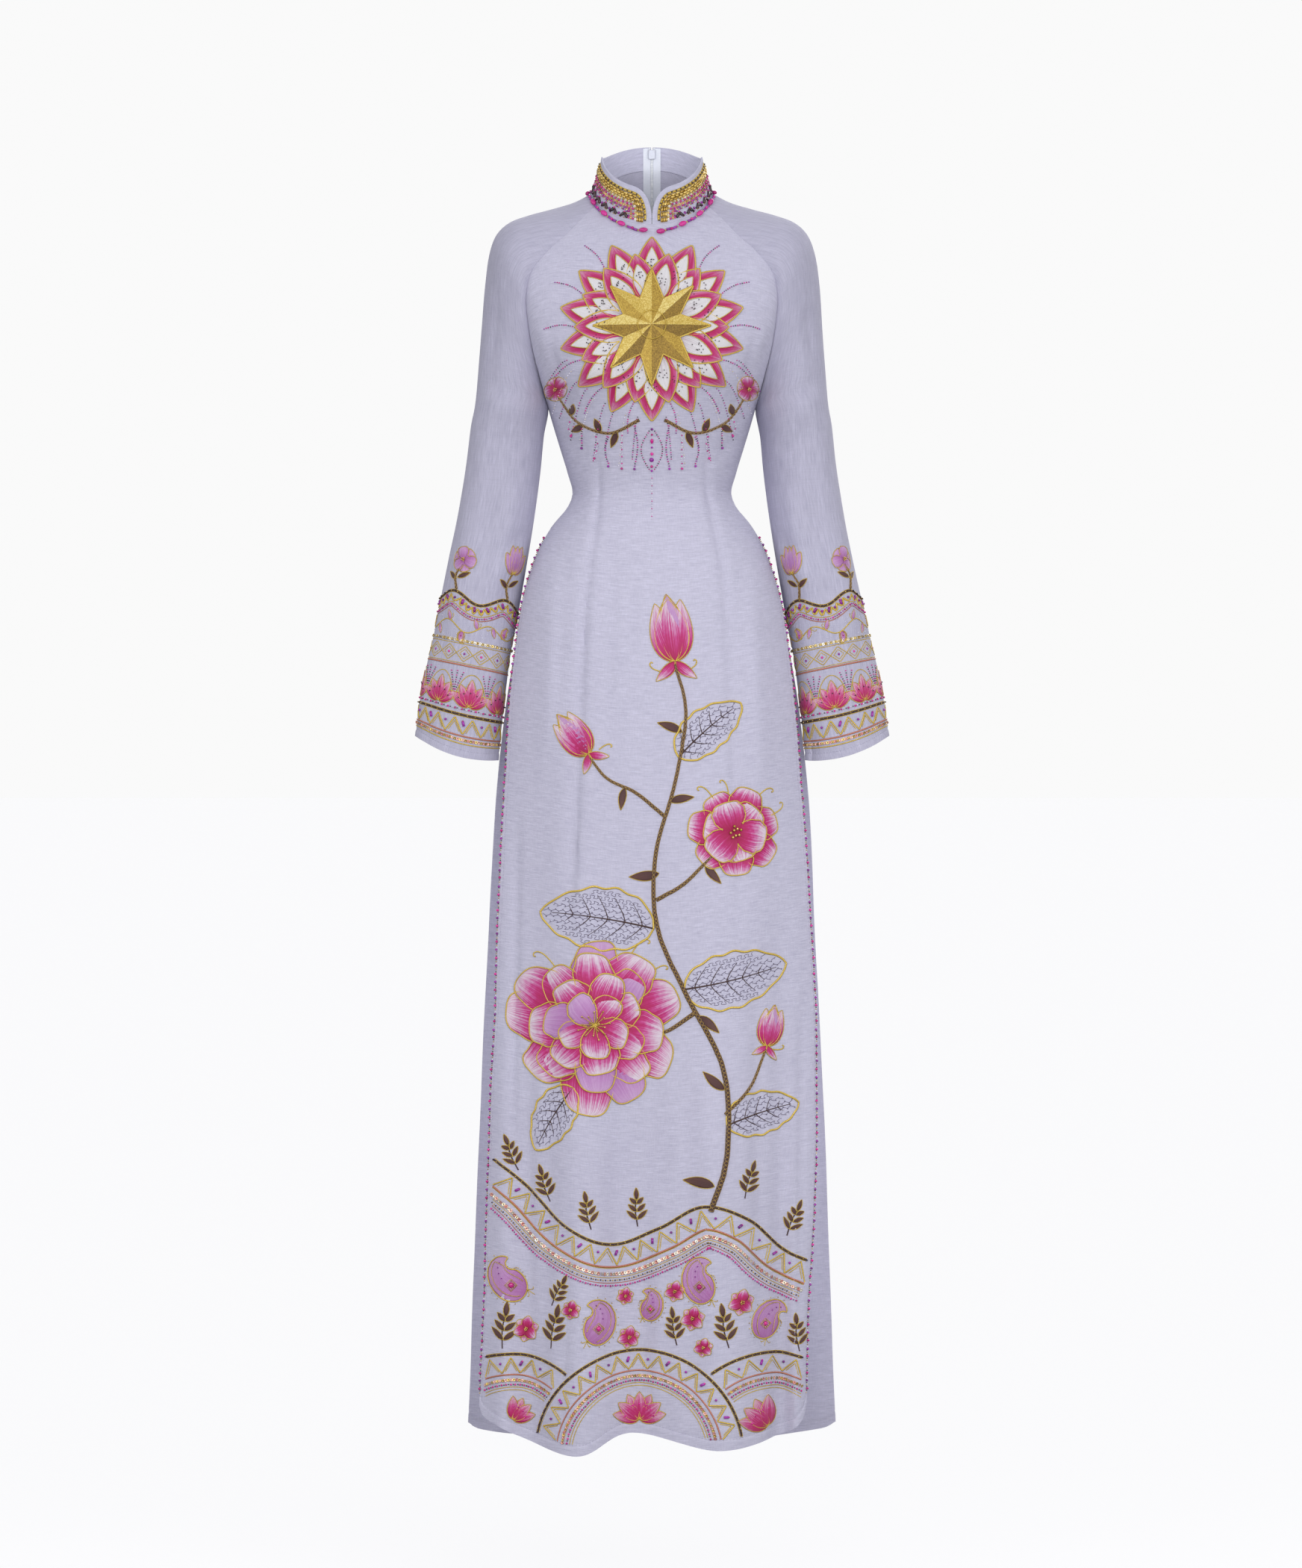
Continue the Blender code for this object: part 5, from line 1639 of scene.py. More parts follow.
def makeEdgeString(name, grid, column, finishes):
    rows = grid[:, column]
    beside = grid[:, 1 if column == 0 else -2]
    normals = gridNormals(grid, (0, -1, 0))[:, column]
    kept = (rows[:, 2] < edgeString["top"]) & (rows[:, 2] > edgeString["end"])
    inward = beside - rows
    inward /= np.linalg.norm(inward, axis=1, keepdims=True)
    line = (rows + inward * edgeString["in"])[kept]
    joined = evenly(np.concatenate([line, normals[kept] * 0.001], axis=1), edgeString["spacing"])
    places, up = joined[:, :3], joined[:, 3:]
    up = up / np.linalg.norm(up, axis=1, keepdims=True)
    runs = along(places)
    work = Needlework(name, "beads")
    pattern = [("round", 3.1, "magenta"), ("seed", 1.7, "dark"), ("seed", 1.7, "golden"),
               ("seed", 1.7, "clear"), ("round", 2.9, "purple"), ("seed", 1.7, "dark"),
               ("seed", 1.7, "golden"), ("seed", 1.8, "dark")]
    for k, (kind, size, finish) in enumerate(pattern):
        chosen = slice(k, None, len(pattern))
        layBeads(work, places[chosen], up[chosen], runs[chosen], size, kind, finishes[finish],
                 tilt=0.3, seed=40 + k)
    return work.make()


# chest: a round medallion of petals about a gold sun, with swags of beads under it

chest = {"centre": (0.0, -158.0), "petals": 14, "outer": 105.0, "inner": 86.0, "sun": 66.0,
         "sunValley": 34.0, "rays": 8, "rise": 5.0,
         "stem": [(14, -262), (48, -276), (84, -262), (106, -232)]}


def layFacet(work, ground, corners, lifts, tone, material, parts=8):
    # a flat three-cornered field of gold thread, raised more at some corners than at others; tone is its
    # painted light and shade
    corners, lifts = np.asarray(corners, float), np.asarray(lifts, float)
    places, heights, number = [], [], {}
    for i in range(parts + 1):
        for j in range(parts + 1 - i):
            weights = np.array([parts - i - j, i, j]) / parts
            number[i, j] = len(places)
            places.append(weights @ corners)
            heights.append(weights @ lifts)
    points, _ = ground.at(np.array(places), np.array(heights))
    tris = []
    for i in range(parts):
        for j in range(parts - i):
            tris.append((number[i, j], number[i + 1, j], number[i, j + 1]))
            if i + j < parts - 1:
                tris.append((number[i + 1, j], number[i + 1, j + 1], number[i, j + 1]))
    a, b, c = points[list(tris[0])]
    _, normal = ground.at(corners.mean(0))
    if np.dot(np.cross(b - a, c - a), normal[0]) < 0:
        tris = [face[::-1] for face in tris]
    work.add(points, np.full((len(points), 2), tone), [], tris, material)


def decorateChest(ground, finishes):
    work = Stitcher("chest", ground, finishes)
    centre = np.array(chest["centre"])
    count = chest["petals"]

    def ring(reach, offset, width, lift, silk, heart):
        for k in alternately(count):
            turn = pi / 2 + 2 * pi * (k + offset) / count
            rise = lift + 0.7 * (k % 2)
            start = centre + 20 * aim(turn)
            work.petal(start, turn, reach - 20, width, "pointed", silk, lift=rise, crown=0.8,
                       covered=0.3, outline=1.7, rim=True)
            ahead = aim(turn)
            work.petal(start + ahead * 12, turn, reach - 20 - 24, width * 0.50, "pointed", heart,
                       lift=rise + 0.9, crown=0.5, outline=1.2)
            # small dark beads scattered in the heart of the petal
            source = np.random.default_rng(100 + k)
            spots = [centre + ahead * source.uniform(reach * 0.56, reach * 0.74)
                     + np.array([-ahead[1], ahead[0]]) * source.uniform(-0.09, 0.09) * width * 1.4
                     for _ in range(9)]
            work.bead(spots, "seed", 1.7, "dark", lift=rise + 1.6)

    # slim bead rays stand out between the outer petals
    for k in range(count):
        turn = pi / 2 + 2 * pi * (k + 0.5) / count
        if abs(cos(turn)) < 0.35 and sin(turn) > 0:
            continue
        ahead = aim(turn)
        line = evenly(centre + np.outer(np.linspace(84, 121, 20), ahead)
                      + np.outer(np.sin(np.linspace(0, pi, 20)) * 3.5 * np.sign(cos(turn) + 0.01),
                                 [-ahead[1], ahead[0]]), 1.0)
        work.row(line, 2.5, [("seed", 1.8, "dark"), ("seed", 2.0, "magenta"), ("seed", 2.0, "magenta"),
                             ("seed", 1.8, "purple")], lift=0.05)
    ring(chest["outer"], 0.0, 42, 0.3, "rim", "pearl")
    ring(chest["inner"], 0.5, 38, 1.5, "rim", "pearl")
    # the sun
    silk, rays = work.silk, chest["rays"]
    edge = []
    for k in range(rays):
        angles = [pi / 2 + 2 * pi * (k + share) / rays for share in (-0.5, 0.0, 0.5)]
        reach = (chest["sunValley"], chest["sun"], chest["sunValley"])
        first, tip, last = [centre + r * aim(a) for r, a in zip(reach, angles)]
        lifts = (chest["rise"] + 5.0, 4.6, 4.2)
        halves = (((centre, first, tip), lifts), ((centre, tip, last), (lifts[0], lifts[2], lifts[1])))
        for corners, lifts in halves:
            # each facet leans towards its outer edge, and carries painted shade: it is darker the more it
            # faces away from a light at the upper left
            lean = corners[1] + corners[2] - 2 * centre
            edgeRun = corners[2] - corners[1]
            outward = np.array([-edgeRun[1], edgeRun[0]])
            outward *= np.sign(outward @ lean) / np.linalg.norm(outward)
            tone = 0.5 - 0.62 * (outward @ np.array([-0.45, 0.89]))
            layFacet(silk, ground, corners, lifts, tone, finishes["glitter"])
        edge += [first, tip]
    edge.append(edge[0])
    work.cord(evenly(np.array(edge), 1.8), 2.0, "gold", 3.9)
    work.cord(circle(centre, 16, step=3), 1.2, "gold", chest["rise"] + 4.3)
    # strands of small beads fan out below it
    colours = (("dark", "magenta", "purple"), ("clear", "pale", "clear"), ("magenta", "purple", "dark"))
    for side in (-1, 1):
        for k in range(9):
            turn = radians(-90 + side * (9 + 7.5 * k))
            start = centre + (102 - 2.0 * (k % 2)) * aim(turn)
            reach = (46, 58, 40, 62, 44, 54, 38, 44, 30)[k]
            t = np.linspace(0, 1, 40)
            strand = np.stack([start[0] + side * (6 + 2.6 * k) * t ** 0.8, start[1] - reach * t ** 1.25], -1)
            work.row(evenly(strand, 1.0), 2.5 + 0.4 * (k % 2),
                     [("seed", 1.7, colour) for colour in colours[k % 3]], lift=-0.1)
    # sprigs that spring from under the medallion
    for side in (-1, 1):
        stem = [(side * x, z) for x, z in chest["stem"]]
        work.branch(stem, 3.2, [(0, 1), (1, 0.5)])
        line = route(stem, 1.0)
        for k, share in enumerate((0.25, 0.42, 0.60, 0.77)):
            spot = line[int(share * (len(line) - 1))]
            ahead = line[min(len(line) - 1, int(share * (len(line) - 1)) + 2)] - spot
            turn = atan2(ahead[1], ahead[0]) + (0.9 if k % 2 else -0.9) * side
            work.leaf(spot, turn, 19 - 2 * k, 8, "bark")
        work.blossom((side * 108, -224), 13, 5, 0.4 * side, width=15)
    # fringes of beads hang from the sprigs, and a drop in the middle
    for side in (-1, 1):
        line = route([(side * x, z) for x, z in chest["stem"]], 1.0)
        for k, share in enumerate((0.06, 0.20, 0.34, 0.48, 0.62, 0.76)):
            x, z = line[int(share * (len(line) - 1))]
            t = np.linspace(0, 1, 30)
            reach = (44, 36, 29, 23, 18, 14)[k]
            strand = np.stack([x + side * 3.5 * np.sin(pi * t) * (k % 3 - 1), z - 4 - reach * t], -1)
            pattern = [("seed", 2.1, "magenta"), ("seed", 1.9, "dark"), ("seed", 2.1, "purple")]
            if k % 2:
                pattern = [("seed", 1.8, "clear"), ("seed", 2.1, "magenta"), ("seed", 1.8, "clear")]
            work.row(evenly(strand, 1.0), 2.6, pattern)
            work.bead([(strand[-1, 0], strand[-1, 1] - 3)], "round", 3.0, ("purple", "magenta")[k % 2])
    for z, kind, size, finish in ((-272, "round", 3.2, "purple"), (-278, "round", 2.6, "magenta"),
                                  (-285, "oval", 3.6, "magenta"), (-292, "round", 2.6, "purple"),
                                  (-299, "round", 3.8, "magenta"), (-306, "gem", 6.5, "purple"),
                                  (-313, "round", 3.4, "magenta"), (-318, "round", 2.8, "purple")):
        work.bead([(0, z)], kind, size, finish, turn=pi / 2)
    work.row(np.stack([np.zeros(50), np.linspace(-323, -372, 50)], -1), 2.9,
             [("seed", 1.7, "clear"), ("seed", 1.6, "magenta"), ("seed", 1.6, "clear")])
    for side in (-1, 1):
        t = np.linspace(0, 1, 40)
        line = np.stack([side * (3 + 9 * np.sin(pi * t)), -274 - 42 * t], -1)
        work.row(evenly(line, 1.0), 2.5, [("seed", 1.8, "dark"), ("seed", 1.8, "magenta")])
    return work.make()


# front: a flowering branch that climbs the panel in one long bend

branchWidth = 5.2
mainBranch = [(66, -1148), (84, -1084), (80, -990), (38, -905), (6, -830), (4, -750), (26, -668),
              (38, -590), (26, -536)]
sideBranches = [
    ([(50, -925), (14, -948), (-16, -946)], 4.6),
    ([(5, -800), (36, -782), (62, -756), (78, -742)], 4.2),
    ([(14, -706), (-18, -680), (-50, -664), (-70, -640)], 3.8),
    ([(82, -1040), (110, -1010), (128, -968)], 3.6),
]


def bud(work, base, turn, length):
    # a closed flower: outer petals behind, a full one in front, two sepals at its foot
    for lean, share, width, silk in ((-0.42, 0.92, 0.40, "rose"), (0.44, 0.90, 0.40, "rose"),
                                     (-0.20, 1.0, 0.42, "lilac"), (0.22, 0.98, 0.42, "rose"),
                                     (0.0, 0.94, 0.52, "rose")):
        work.petal(base, turn + lean, length * share, length * width, "pointed", silk,
                   lift=0.3 + 0.35 * (0.5 - abs(lean)), bend=-0.22 * np.sign(lean), crown=0.9)
    for lean in (-1.5, 1.3):
        work.petal(base, turn + pi + lean * 0.45, length * 0.42, length * 0.17, "leaf", "rose",
                   bend=0.2 * np.sign(lean), lift=0.7)


def peony(work, centre, radius, turn, seed):
    source = np.random.default_rng(seed)
    centre = np.asarray(centre, float)
    rings = ((9, 1.0, 0.60, 0.16), (8, 0.80, 0.52, 0.12), (7, 0.60, 0.44, 0.08), (5, 0.42, 0.36, 0.04))
    for index, (count, reach, width, shift) in enumerate(rings):
        for k in alternately(count):
            angle = turn + 2 * pi * (k + 0.5 * (index % 2)) / count + source.uniform(-0.10, 0.10)
            length = radius * reach * source.uniform(0.92, 1.06)
            silk = "lilac" if (k + index * 2) % 5 == 2 else "rose"
            form = "frilled" if (k + index) % 3 else "round"
            heart = centre + radius * shift * 0.4 * aim(angle)
            work.petal(heart, angle, length, radius * width * source.uniform(0.9, 1.1), form, silk,
                       lift=0.3 + 0.85 * index + 0.5 * (k % 2), covered=(0.52, 0.48, 0.42, 0.10)[index],
                       bend=source.uniform(-0.14, 0.14), crown=1.0, outline=1.6)
    # stamens: short gold threads that end in knots
    for k in range(18):
        angle = turn + k * 2.4
        reach = radius * 0.20 * sqrt((k + 1) / 18)
        tip = centre + reach * aim(angle)
        work.cord(evenly(np.array([centre, mix(centre, tip, 0.6), tip]), 1.2), 1.0, "gold", 4.2)
        work.bead([tip], "seed", 2.6, "golden", lift=4.6)


def decorateFront(ground, finishes):
    work = Stitcher("front", ground, finishes)
    work.openLeaf((2, -832), radians(166), 128, 70, 0.10)
    work.openLeaf((84, -1052), radians(22), 84, 48, -0.10)
    work.openLeaf((30, -640), radians(48), 92, 48, -0.12)
    work.openLeaf((36, -900), radians(8), 118, 62, 0.10)
    work.openLeaf((-88, -1010), radians(232), 82, 46, 0.12)
    work.branch(mainBranch, branchWidth, [(0, 1.15), (1, 0.55)])
    for points, width in sideBranches:
        work.branch(points, width, [(0, 1.0), (1, 0.6)])
    bud(work, (26, -532), radians(97), 74)
    bud(work, (-71, -636), radians(128), 56)
    bud(work, (129, -964), radians(78), 46)
    work.blossom((92, -724), 50, 7, 0.3, form="frilled", width=38, rings=2)
    for k, (x, z, turn, length) in enumerate((
            (34, -612, 150, 30), (20, -690, 20, 28), (-30, -674, 250, 26), (8, -770, 196, 34),
            (60, -760, 300, 28), (52, -930, 330, 30), (70, -1120, 160, 36), (82, -1012, 150, 32))):
        work.leaf((x, z), radians(turn), length, length * 0.34, bend=0.16 * (-1) ** k)
    peony(work, (-64, -940), 90, 0.35, 5)
    for base, turn, length, curl in (((-108, -876), 126, 48, 1), ((-128, -896), 148, 38, 1),
                                     ((-24, -862), 60, 44, -1), ((-2, -882), 40, 34, -1),
                                     ((70, -688), 122, 38, 1), ((86, -682), 98, 30, 1),
                                     ((116, -688), 52, 38, -1), ((132, -706), 24, 34, 1),
                                     ((34, -545), 20, 34, 1), ((16, -545), 172, 34, -1),
                                     ((-60, -632), 40, 26, -1), ((134, -968), 350, 24, 1)):
        work.tendril(base, radians(turn), length, curl, width=1.5)
    return work.make()


# hem: waves of bands, with arches under them, and small motifs between

hem = {"margin": 13.0, "edgeIn": 6.0, "waveHeight": 25.0,
       "arches": [(-14.0, -1420.0, 116.0), (-156.0, -1408.0, 98.0), (130.0, -1414.0, 106.0)]}
waveBand = [(-184, -1088), (-140, -1122), (-96, -1166), (-44, -1186), (8, -1168), (58, -1143), (108, -1158),
            (146, -1192), (182, -1210)]


def decorateHem(ground, grid, finishes):
    work = Stitcher("hem", ground, finishes)
    # the panel's own edges, by height
    rows = grid[grid[:, 0, 2] < -1000]
    zs, rights, lefts = -rows[:, 0, 2], rows[:, 0, 0], rows[:, -1, 0]
    edgeIn, margin = hem["edgeIn"], hem["margin"]
    below = grid[-1]

    def onPanel(line):
        depth = -line[:, 1]
        inside = line[:, 0] > np.interp(depth, zs, rights) + edgeIn
        inside &= line[:, 0] < np.interp(depth, zs, lefts) - edgeIn
        return inside & (line[:, 1] > np.interp(line[:, 0], below[:, 0], below[:, 2]) + margin)

    def lay(line, stitch, clear=()):
        def allowed(points):
            kept = onPanel(points)
            for x, z, radius in clear:
                kept &= np.hypot(points[:, 0] - x, points[:, 1] - z) > radius
            return kept
        for run in keptRuns(line, allowed):
            stitch(run)

    # one wide band of teeth that rises and falls across the panel
    upper = route(waveBand, 1.0)
    lower = shifted(upper, -hem["waveHeight"])
    lay(upper, work.ropeLine)
    lay(lower, lambda run: (work.band(run, 2.0, "coral"), work.band(shifted(run, -1.5), 1.1, "gold")))
    lay(shifted(upper, -hem["waveHeight"] + 1.6), lambda run: work.teeth(run, 20, 24))
    # rows of sequins and beads that follow it
    lay(shifted(upper, -33), lambda run: work.row(run, 3.4, [("sequin", 4.4, "blush"),
                                                               ("sequin", 4.2, "pale")], tilt=0.4))
    lay(shifted(upper, -37), lambda run: work.band(run, 1.1, "gold"))
    lay(shifted(upper, -40), lambda run: work.row(run, 2.7, [("seed", 2.1, "dark"),
                                                             ("seed", 2.0, "golden")]))
    lay(shifted(upper, -43), lambda run: work.band(run, 1.1, "coral"))
    lay(shifted(upper, -46), lambda run: work.row(run, 2.8, [("round", 2.4, "magenta"),
                                                               ("seed", 1.9, "purple")]))
    # arches in rows, each standing in front of the one before
    for index, (x, z, radius) in enumerate(hem["arches"]):
        front = [(a, b, c + 5) for a, b, c in hem["arches"][:index]]

        def arc(share):
            return circle((x, z), radius * share, 178, 2, 1.0)
        lay(arc(1.0), work.ropeLine, front)
        lay(arc(1.0 - 23 / radius), lambda run: work.band(run, 1.8, "coral"), front)
        lay(arc(1.0 - 21 / radius), lambda run: work.teeth(run, 17, 19, ("round", "tube")), front)
        lay(arc(1.0 - 29 / radius), lambda run: work.row(
            run, 3.0, [("sequin", 3.8, "blush"), ("sequin", 3.6, "golden")], tilt=0.4), front)
        lay(arc(1.0 - 34 / radius), lambda run: work.row(
            run, 2.6, [("round", 2.4, "magenta"), ("seed", 1.8, "dark")]), front)
        for step in (37, 40):
            lay(arc(1.0 - step / radius), lambda run: work.band(run, 1.2, "gold"), front)
        # a half flower under the arch
        count = 7
        low = np.interp(x, below[:, 0], below[:, 2]) + margin + 3
        for k in alternately(count):
            turn = radians(mix(168, 12, k / (count - 1)))
            length = radius - 47 - (low - z)
            if length > 12 and onPanel(np.array([[x + 0.9 * length * cos(turn), low]]))[0]:
                work.petal((x, low), turn, length, length * 0.52, "pointed", "rim",
                           lift=0.3 + 0.3 * (k % 2), outline=1.2)
                tip = np.array([x, low]) + length * 0.55 * aim(turn)
                work.bead([tip], "gem", 2.8, "magenta", lift=1.2)
    # small things between the wave and the arches
    for x, z, turn, length, side in ((-140, -1238, 150, 62, -1), (-72, -1292, 62, 58, 1),
                                     (66, -1246, 118, 60, -1), (128, -1292, 78, 54, -1),
                                     (-10, -1268, 62, 42, 1)):
        work.paisley((x, z), radians(turn), length, side)
    for x, z, turn, length in ((-168, -1304, 84, 44), (-113, -1302, 80, 42), (-112, -1254, 64, 32),
                               (28, -1298, 98, 36), (86, -1300, 100, 42), (166, -1308, 96, 36)):
        sprig(work, (x, z), radians(turn), length)
    for x, z, radius in ((-141, -1282, 15), (-26, -1290, 13), (46, -1268, 14), (100, -1250, 15),
                         (-90, -1258, 11), (58, -1300, 11), (26, -1238, 12), (-30, -1244, 10)):
        work.blossom((x, z), radius, 6, 0.3, form="pointed", width=radius * 0.95)
    for x, z in ((-150, -1104), (-114, -1138), (-16, -1166), (104, -1134), (-68, -1168), (152, -1178)):
        sprig(work, (x, z), radians(90 - x * 0.15), 36)
    return work.make()


def sprig(work, base, turn, length):
    # a dark twig with small gold-edged leaves in pairs
    base = np.asarray(base, float)
    ahead, beside = aim(turn), np.array([-sin(turn), cos(turn)])
    stem = [base, base + ahead * length * 0.5 + beside * length * 0.05, base + ahead * length * 0.9]
    work.cord(route(stem, 1.6), 1.5, "ink")
    for k in range(3):
        spot = base + ahead * length * (0.22 + 0.24 * k)
        for side in (-1, 1):
            work.leaf(spot, turn + side * 0.85, length * (0.44 - 0.07 * k), length * 0.15)
    work.leaf(base + ahead * length * 0.82, turn, length * 0.40, length * 0.16)


# cuffs: bands all round, from a stitched line above the edge up to standing flowers

cuff = {"foot": 14.0, "seamIn": 2.0, "top": 196.0}


def decorateCuff(name, grid, finishes, side):
    ground = sleeveGround(grid)
    work = Stitcher(name, ground, finishes)
    start, end = -ground.ring / 4 + cuff["seamIn"], 3 * ground.ring / 4 - cuff["seamIn"]
    across = np.arange(start, end, 1.0)

    def line(height, swing=0.0, count=6, phase=0.0):
        wave = swing * np.cos((across - start) / (end - start) * 2 * pi * count + phase)
        return np.stack([across, height + wave], -1)

    low = cuff["foot"]
    work.band(line(low), 1.4)
    work.row(line(low + 4), 3.0, [("sequin", 3.6, "blush"), ("sequin", 3.6, "golden")], tilt=0.4)
    work.band(line(low + 8), 1.8, "coral")
    work.teeth(line(low + 9.5), 17, 20.5)
    work.ropeLine(line(low + 30))
    work.row(line(low + 36), 2.7, [("round", 2.5, "magenta"), ("seed", 1.8, "clear"),
                                   ("seed", 1.8, "dark")])
    # fans of petals, and rays of beads between them
    fans = 7
    for k in range(fans):
        x = start + (end - start) * (k + 0.5) / fans
        foot = low + 40
        for step in (0, 4, 1, 3, 2):
            turn = radians(150 - 30 * step)
            work.petal((x, foot), turn, 26 + 4 * (step == 2), 13, "pointed", "rim",
                       lift=0.3 + 0.2 * (step % 2) + 0.3 * (step == 2), outline=1.1)
            tip = np.array([x, foot]) + 15 * aim(turn)
            work.bead([tip], "seed", 1.9, "dark", lift=1.2)
        arch = circle((x, foot - 2), (end - start) / fans / 2 - 1.0, 172, 8, 1.0)
        arch[:, 1] = foot - 2 + (arch[:, 1] - foot + 2) * 2.05
        work.cord(arch, 1.3)
        edge = x + (end - start) / fans / 2
        if k < fans - 1:
            for lean in (-0.30, 0.0, 0.30):
                t = np.linspace(4, 25, 22)
                ray = np.stack([edge + t * sin(lean), foot + 12 + t * cos(lean)], -1)
                work.row(ray, 2.6, [("seed", 1.9, "magenta"), ("seed", 1.8, "dark")])
    # diamonds between coral lines
    base = low + 84
    work.band(line(base), 1.8, "coral")
    work.band(line(base + 2.2), 1.1)
    diamonds = 13
    for k in range(diamonds):
        x = start + (end - start) * (k + 0.5) / diamonds
        wide = (end - start) / diamonds / 2
        mark = np.array([(x - wide, base + 13), (x, base + 22), (x + wide, base + 13), (x, base + 4),
                         (x - wide, base + 13)])
        work.cord(evenly(mark, 1.8), 1.3)
        inner = mix(mark, np.array([x, base + 13]), 0.38)
        work.cord(evenly(inner, 1.6), 1.0)
        work.bead([(x, base + 13)], "gem", 3.4, ("magenta", "purple")[k % 2])
    work.band(line(base + 24), 1.1)
    work.row(line(base + 27.5), 3.1, [("sequin", 3.8, "pale"), ("sequin", 3.6, "golden")], tilt=0.4)
    # a creeper with leaves and paisleys
    height = base + 43
    creeper = line(height, 6, 5, 0.6)
    source = np.random.default_rng(61 + side)
    spots = np.stack([source.uniform(start + 2, end - 2, 150),
                      source.uniform(base + 31, base + 55, 150)], -1)
    work.bead(spots, "seed", 1.1, "clear")
    work.band(creeper, 1.4)
    for k in range(15):
        spot = creeper[int((k + 0.5) / 15 * (len(creeper) - 1))]
        up = 1 if k % 2 else -1
        if k % 3 == 1:
            work.paisley(spot, radians(90 * up), 17, up)
        else:
            work.petal(spot, radians(90 * up - 25), 13, 5.5, "leaf", "lilac", outline=0.9)
            work.tendril(spot, radians(90 * up + 40), 13, -up, width=0.9)
    # the scalloped top, and flowers standing on it
    top = line(base + 76, 6, 4, pi)
    work.ropeLine(top)
    work.teeth(shifted(top, -11.5), 8, 9.4, ("round", "tube"))
    work.band(shifted(top, -13), 1.3)
    work.row(shifted(top, -15.5), 2.9, [("round", 2.4, "magenta"), ("seed", 1.9, "purple"),
                                        ("seed", 1.8, "magenta")])
    work.band(shifted(top, -18), 1.3, "coral")
    for k in range(4):
        x = start + (end - start) * (k + 0.5) / 4 + 3 * side
        foot = np.interp(x, top[:, 0], top[:, 1]) + 2
        work.branch([(x, foot), (x + 5, foot + 16), (x - 1, foot + 30)], 2.8, [(0, 1), (1, 0.6)])
        if k % 2 == 0:
            for lean, share in ((-0.75, 0.86), (0.75, 0.86), (-0.36, 1.0), (0.36, 1.0), (0.0, 0.98)):
                work.petal((x - 1, foot + 29), pi / 2 + lean, 32 * share, 14, "pointed", "lilac",
                           lift=0.3 + 0.2 * (1 - abs(lean)), bend=-0.14 * np.sign(lean), outline=1.3)
        else:
            work.blossom((x - 1, foot + 36), 15, 6, 0.2, "lilac", "round", 15)
        work.leaf((x + 3, foot + 12), radians(30), 17, 6)
        work.leaf((x + 2, foot + 14), radians(150), 17, 6)
    return work.make()


zipWork = {"from": 1.5, "to": 10.0, "end": -430.0, "tape": 0.5, "gap": 0.6, "pitch": 1.25,
           "coil": 3.0}


def backLine(word, x):
    # down the inside of the collar and the back at one distance from the middle
    places = []
    for grid, thick in ((collars[word][1], cloth["collarThick"]), (backs[word][1], cloth["thick"])):
        normals = gridNormals(grid, (0, 1, 0))
        for row, outward in zip(grid, normals):
            order = [j for j in np.argsort(np.abs(row[:, 0])) if row[j, 1] > 0]
            near = np.abs(row[order, 0])
            place = [np.interp(x, near, row[order, k]) for k in (1, 2)]
            away = np.array([np.interp(x, near, outward[order, k]) for k in (1, 2)])
            away *= np.sign(away[0])
            deep = thick + zipWork["gap"]
            places.append((place[0] - away[0] * deep, place[1] - away[1] * deep))
    places = np.array(places)
    places = places[np.concatenate([[True], np.diff(places[:, 1]) < -0.4])]
    line = evenly(places[places[:, 1] > zipWork["end"] - 4], 1.0)
    # the zip runs straight over the seam where the collar begins
    smooth = line.copy()
    for _ in range(30):
        smooth[1:-1] = (smooth[:-2] + smooth[1:-1] * 2 + smooth[2:]) / 4
    return np.column_stack([np.full(len(smooth), sideSigns[word] * x), smooth])


class BackGround:
    # places on the zip by distance from the middle and height
    def __init__(self, word):
        self.xs = (0.0, 3.0, 6.0, 10.0)
        self.lines = [backLine(word, max(x, 1.0)) for x in self.xs]

    def at(self, places, lift=0.0):
        places = np.atleast_2d(np.asarray(places, float))
        columns = np.array([np.interp(-places[:, 1], -line[:, 2], line[:, 1]) for line in self.lines])
        ys = np.array([np.interp(abs(x), self.xs, columns[:, k]) for k, x in enumerate(places[:, 0])])
        points = np.stack([places[:, 0], ys - lift, places[:, 1]], -1)
        return points, np.broadcast_to([0.0, -1.0, 0.0], points.shape)


def tapeFinish():
    # a close ribbed weave, slightly shiny
    finish = Finish("zip_tape_white", Roughness=0.55, Specular_IOR_Level=0.4)
    ribs = finish.noise(finish.coordinates("UV", (150, 1400, 1)), 1.0, 2.0)
    fine = finish.noise(finish.coordinates("UV", (900, 900, 1)), 1.0, 2.0)
    tone = ribs * 0.65 + fine * 0.35
    finish.feed("Base Color", finish.shades([(0.0, (0.70, 0.73, 0.84)), (1.0, (0.90, 0.93, 0.99))], tone))
    finish.bump(tone, 0.4, 0.0002)
    return finish.material


def enamelFinish(name, colour, rough):
    # painted metal, a little uneven and worn paler where it is rubbed
    finish = Finish(name, Metallic=0.25, Coat_Weight=0.3, Coat_Roughness=0.2)
    patch = finish.noise(finish.coordinates("Object", (400, 400, 400)), 1.0, 3.0)
    pale = tuple(min(1.0, c * 1.15) for c in colour)
    finish.feed("Base Color", finish.shades([(0.3, colour), (0.7, pale)], patch))
    finish.feed("Roughness", patch * 0.2 + rough)
    return finish.material


